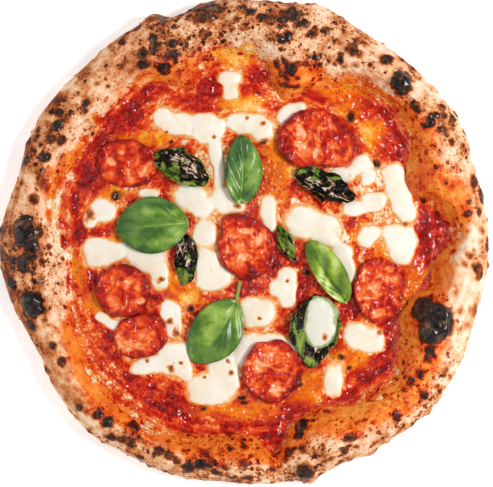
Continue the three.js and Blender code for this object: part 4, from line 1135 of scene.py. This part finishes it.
# Shapes as for the baked leaves, with a notch where the base runs back beside the stalk. rib and veins say
# how much paler those lines are than the blade, veins for the left and the right; a negative value darkens
# the line instead, as painted shade in its crease. Dark parts, which are darker green and partly painted
# shade, and pale parts, which are painted highlights, are [x, y, half-length, half-width]; a per-leaf
# strength scales the painted highlights, and yellow is a leaf's own tone.
LEAVES = [
    {"base": [-35.7, 13], "tip": [-81.6, 9], "halves": [17.5, 18.5], "skew": 1, "bluntness": 0.6, "bend": 0,
     "fold": -0.14, "arch": 3.2, "yellow": 0.3, "rib": 0.7, "veins": [0.5, 0.5], "highlight_strength": 0.7,
     "painted_highlight": [[-45, 20, 6, 2], [-43, 7, 5, 3], [-48, 2, 6, 2], [-60, 0, 7, 2], [-55, 20, 8, 2]],
     "dark_and_painted_shade": [[-77, 10, 6, 13], [-66, -3, 9, 5], [-60, 8, 6, 4], [-58, 24, 12, 3]]},
    {"base": [-3, 27.5], "tip": [-3, 68.2], "halves": [11, 12.5], "skew": 0.8, "bluntness": 0.58, "bend": -1,
     "notch": 3, "fold": 0.16, "arch": 2.6, "yellow": 0.15, "rib": 0.8, "veins": [1, -0.8], "highlight_strength": 0.8,
     "painted_highlight": [[5.5, 46, 4, 15], [-10, 36, 2, 6]], "dark_and_painted_shade": [[-4.5, 58, 4, 8], [2, 31, 5, 3], [-12, 52, 3, 8]]},
    {"base": [-6, -36], "tip": [-33, -74.5], "halves": [14, 18], "skew": 1, "bluntness": 0.56, "bend": 3,
     "fold": -0.06, "arch": 3.4, "stalk_end": [-3.6, -23.5], "yellow": 0.4, "rib": 0.1,
     "veins": [-0.3, -0.6], "highlight_strength": 0.9,
     "painted_highlight": [[-14, -43, 8, 4], [-18, -49, 5, 6], [-25, -56, 5, 4], [-5, -48, 2.4, 6]],
     "dark_and_painted_shade": [[-35, -60, 4, 11], [-13, -56, 5, 9]]},
    {"base": [63, -37], "tip": [38.5, 1], "halves": [7, 12], "skew": 1, "bluntness": 0.45, "bend": 1,
     "fold": 0.3, "arch": 3, "yellow": 1.0, "rib": -0.7, "veins": [0.5, 0.5], "highlight_strength": 1.3,
     "painted_highlight": [[47, -19, 2.4, 6], [51, -26, 2.4, 6], [56, -12, 4, 9], [51, -2, 3, 3], [58, -34, 3, 3]],
     "dark_and_painted_shade": [[39, -7, 3, 7], [60, -26, 3, 7], [51, -14, 2, 6]]},
]


def fresh_mesh(name, solid, leaf, seed):
    """A smooth blade: the midrib is a groove, side veins leave it towards the tip, and the skin bulges
    between them like a quilt. A stalk is the part before the base, where the share is below 0."""
    shares = np.linspace(0.004, 0.996, 130)
    if "stalk_end" in leaf:
        shares = np.concatenate([np.linspace(-1, -0.01, 24), shares])
    share, side = np.meshgrid(shares, np.linspace(1, -1, 65), indexing="ij")
    x, y, reached = leaf_plan(leaf, share, side)
    flat = flat_points(x, y, 13.0 * seed)
    off_midrib = np.abs(side)
    blade = smoothstep(0.0, 0.05, share)
    forward = 0.42 * off_midrib**1.2
    phase = VEIN_PAIRS * (np.clip(share, 0, 1) - forward + 0.05 * np.sin(3 * side + seed)) + 0.45 * (side > 0)
    off_vein = np.abs(phase - np.round(phase)) * 2
    quilt = 0.8 * smoothstep(0, 1, off_vein) * smoothstep(0, 0.25, off_midrib)
    quilt = quilt * smoothstep(1, 0.7, off_midrib)
    fading = smoothstep(1.0, 0.3, share)
    midrib = np.exp(-((reached / 0.7) ** 2)) * fading * blade
    sway = 1.3 * noise(flat, 11, 91) + 0.1 * noise(flat, 3, 92)
    level = leaf["arch"] * np.sin(np.pi * np.clip(share, 0, 1)) + leaf["fold"] * np.abs(reached)
    level = fitted(solid, level + blade * (quilt + sway) - 0.9 * midrib, LEAF_THICKNESS)
    rings = leaf_rings(x, y, level, np.where(share < 0, STALK_THICKNESS, FRESH_THICKNESS))
    seen = smoothstep(-0.5, 0.3, noise(flat, 8, 93)) * smoothstep(0.9, 0.4, off_midrib) * blade * fading
    # A negative vein or rib value paints shade into the crease in place of a paler line.
    vein = np.exp(-((off_vein / 0.1) ** 2)) * seen * np.where(side > 0, *leaf["veins"])
    marks = {
        "vein": doubled(vein), "rib": doubled(midrib * leaf["rib"]),
        "stalk": doubled((share < 0.02).astype(float)), "yellow": doubled(0 * x + leaf["yellow"]),
        "painted_highlight": doubled(blots(x, y, leaf["painted_highlight"], soften=0.95, wobble=0.6, grain=7) * leaf["highlight_strength"]),
        "dark_and_painted_shade": doubled(blots(x, y, leaf["dark_and_painted_shade"], soften=0.9, wobble=0.5, grain=9)),
        "margin": doubled(smoothstep(0.85, 1.0, off_midrib)),
    }
    return skin_mesh(name, rings[0].mean(axis=0), rings, rings[-1].mean(axis=0), marks)


fresh_basil, tree, shader, place = material("fresh_basil")
cells = grain_of(tree, place, 420)
shade = grain_of(tree, place, 100, 3, distortion=0.5)
# How bright the blade is, with light painted into it: its veins and hollows, partly painted shade, at 0 and
# its painted sheen at 1.
tone = total(
    tree, 0.0, (shade, 0.5), (cells, 0.3), (mark(tree, "dark_and_painted_shade"), -0.24), (mark(tree, "painted_highlight"), 0.34),
    (mark(tree, "vein"), 0.3), (mark(tree, "rib"), 0.4), (mark(tree, "margin"), -0.14),
)
green = palette(
    tree, tone, (0.0, (22, 54, 20)), (0.25, (44, 94, 28)), (0.5, (84, 132, 40)), (0.72, (132, 168, 76)),
    (1.0, (204, 222, 158)),
)
yellow_green = palette(
    tree, tone, (0.0, (48, 78, 14)), (0.25, (86, 120, 22)), (0.5, (136, 164, 40)), (0.72, (180, 202, 92)),
    (1.0, (228, 238, 180)),
)
colour = mixed(tree, mark(tree, "yellow"), green, yellow_green)
colour = mixed(tree, mark(tree, "stalk"), colour, rgb(132, 160, 66))
feed(shader, {
    "Base Color": colour, "Normal": bumps(tree, (cells, 0.2, 0.0004)),
    "Roughness": ranged(tree, cells, 0.26, 0.4), "Specular IOR Level": 0.6,
    "Subsurface Weight": 0.08, "Subsurface Radius": (0.0006, 0.0012, 0.0003), "Subsurface Scale": 1.0,
})

for number, leaf in enumerate(LEAVES, start=1):
    name = f"basil_leaf_{number}"
    mesh = fresh_mesh(name + "_skin", name, leaf, number)
    show("fresh_" + name, mesh, fresh_basil, name)
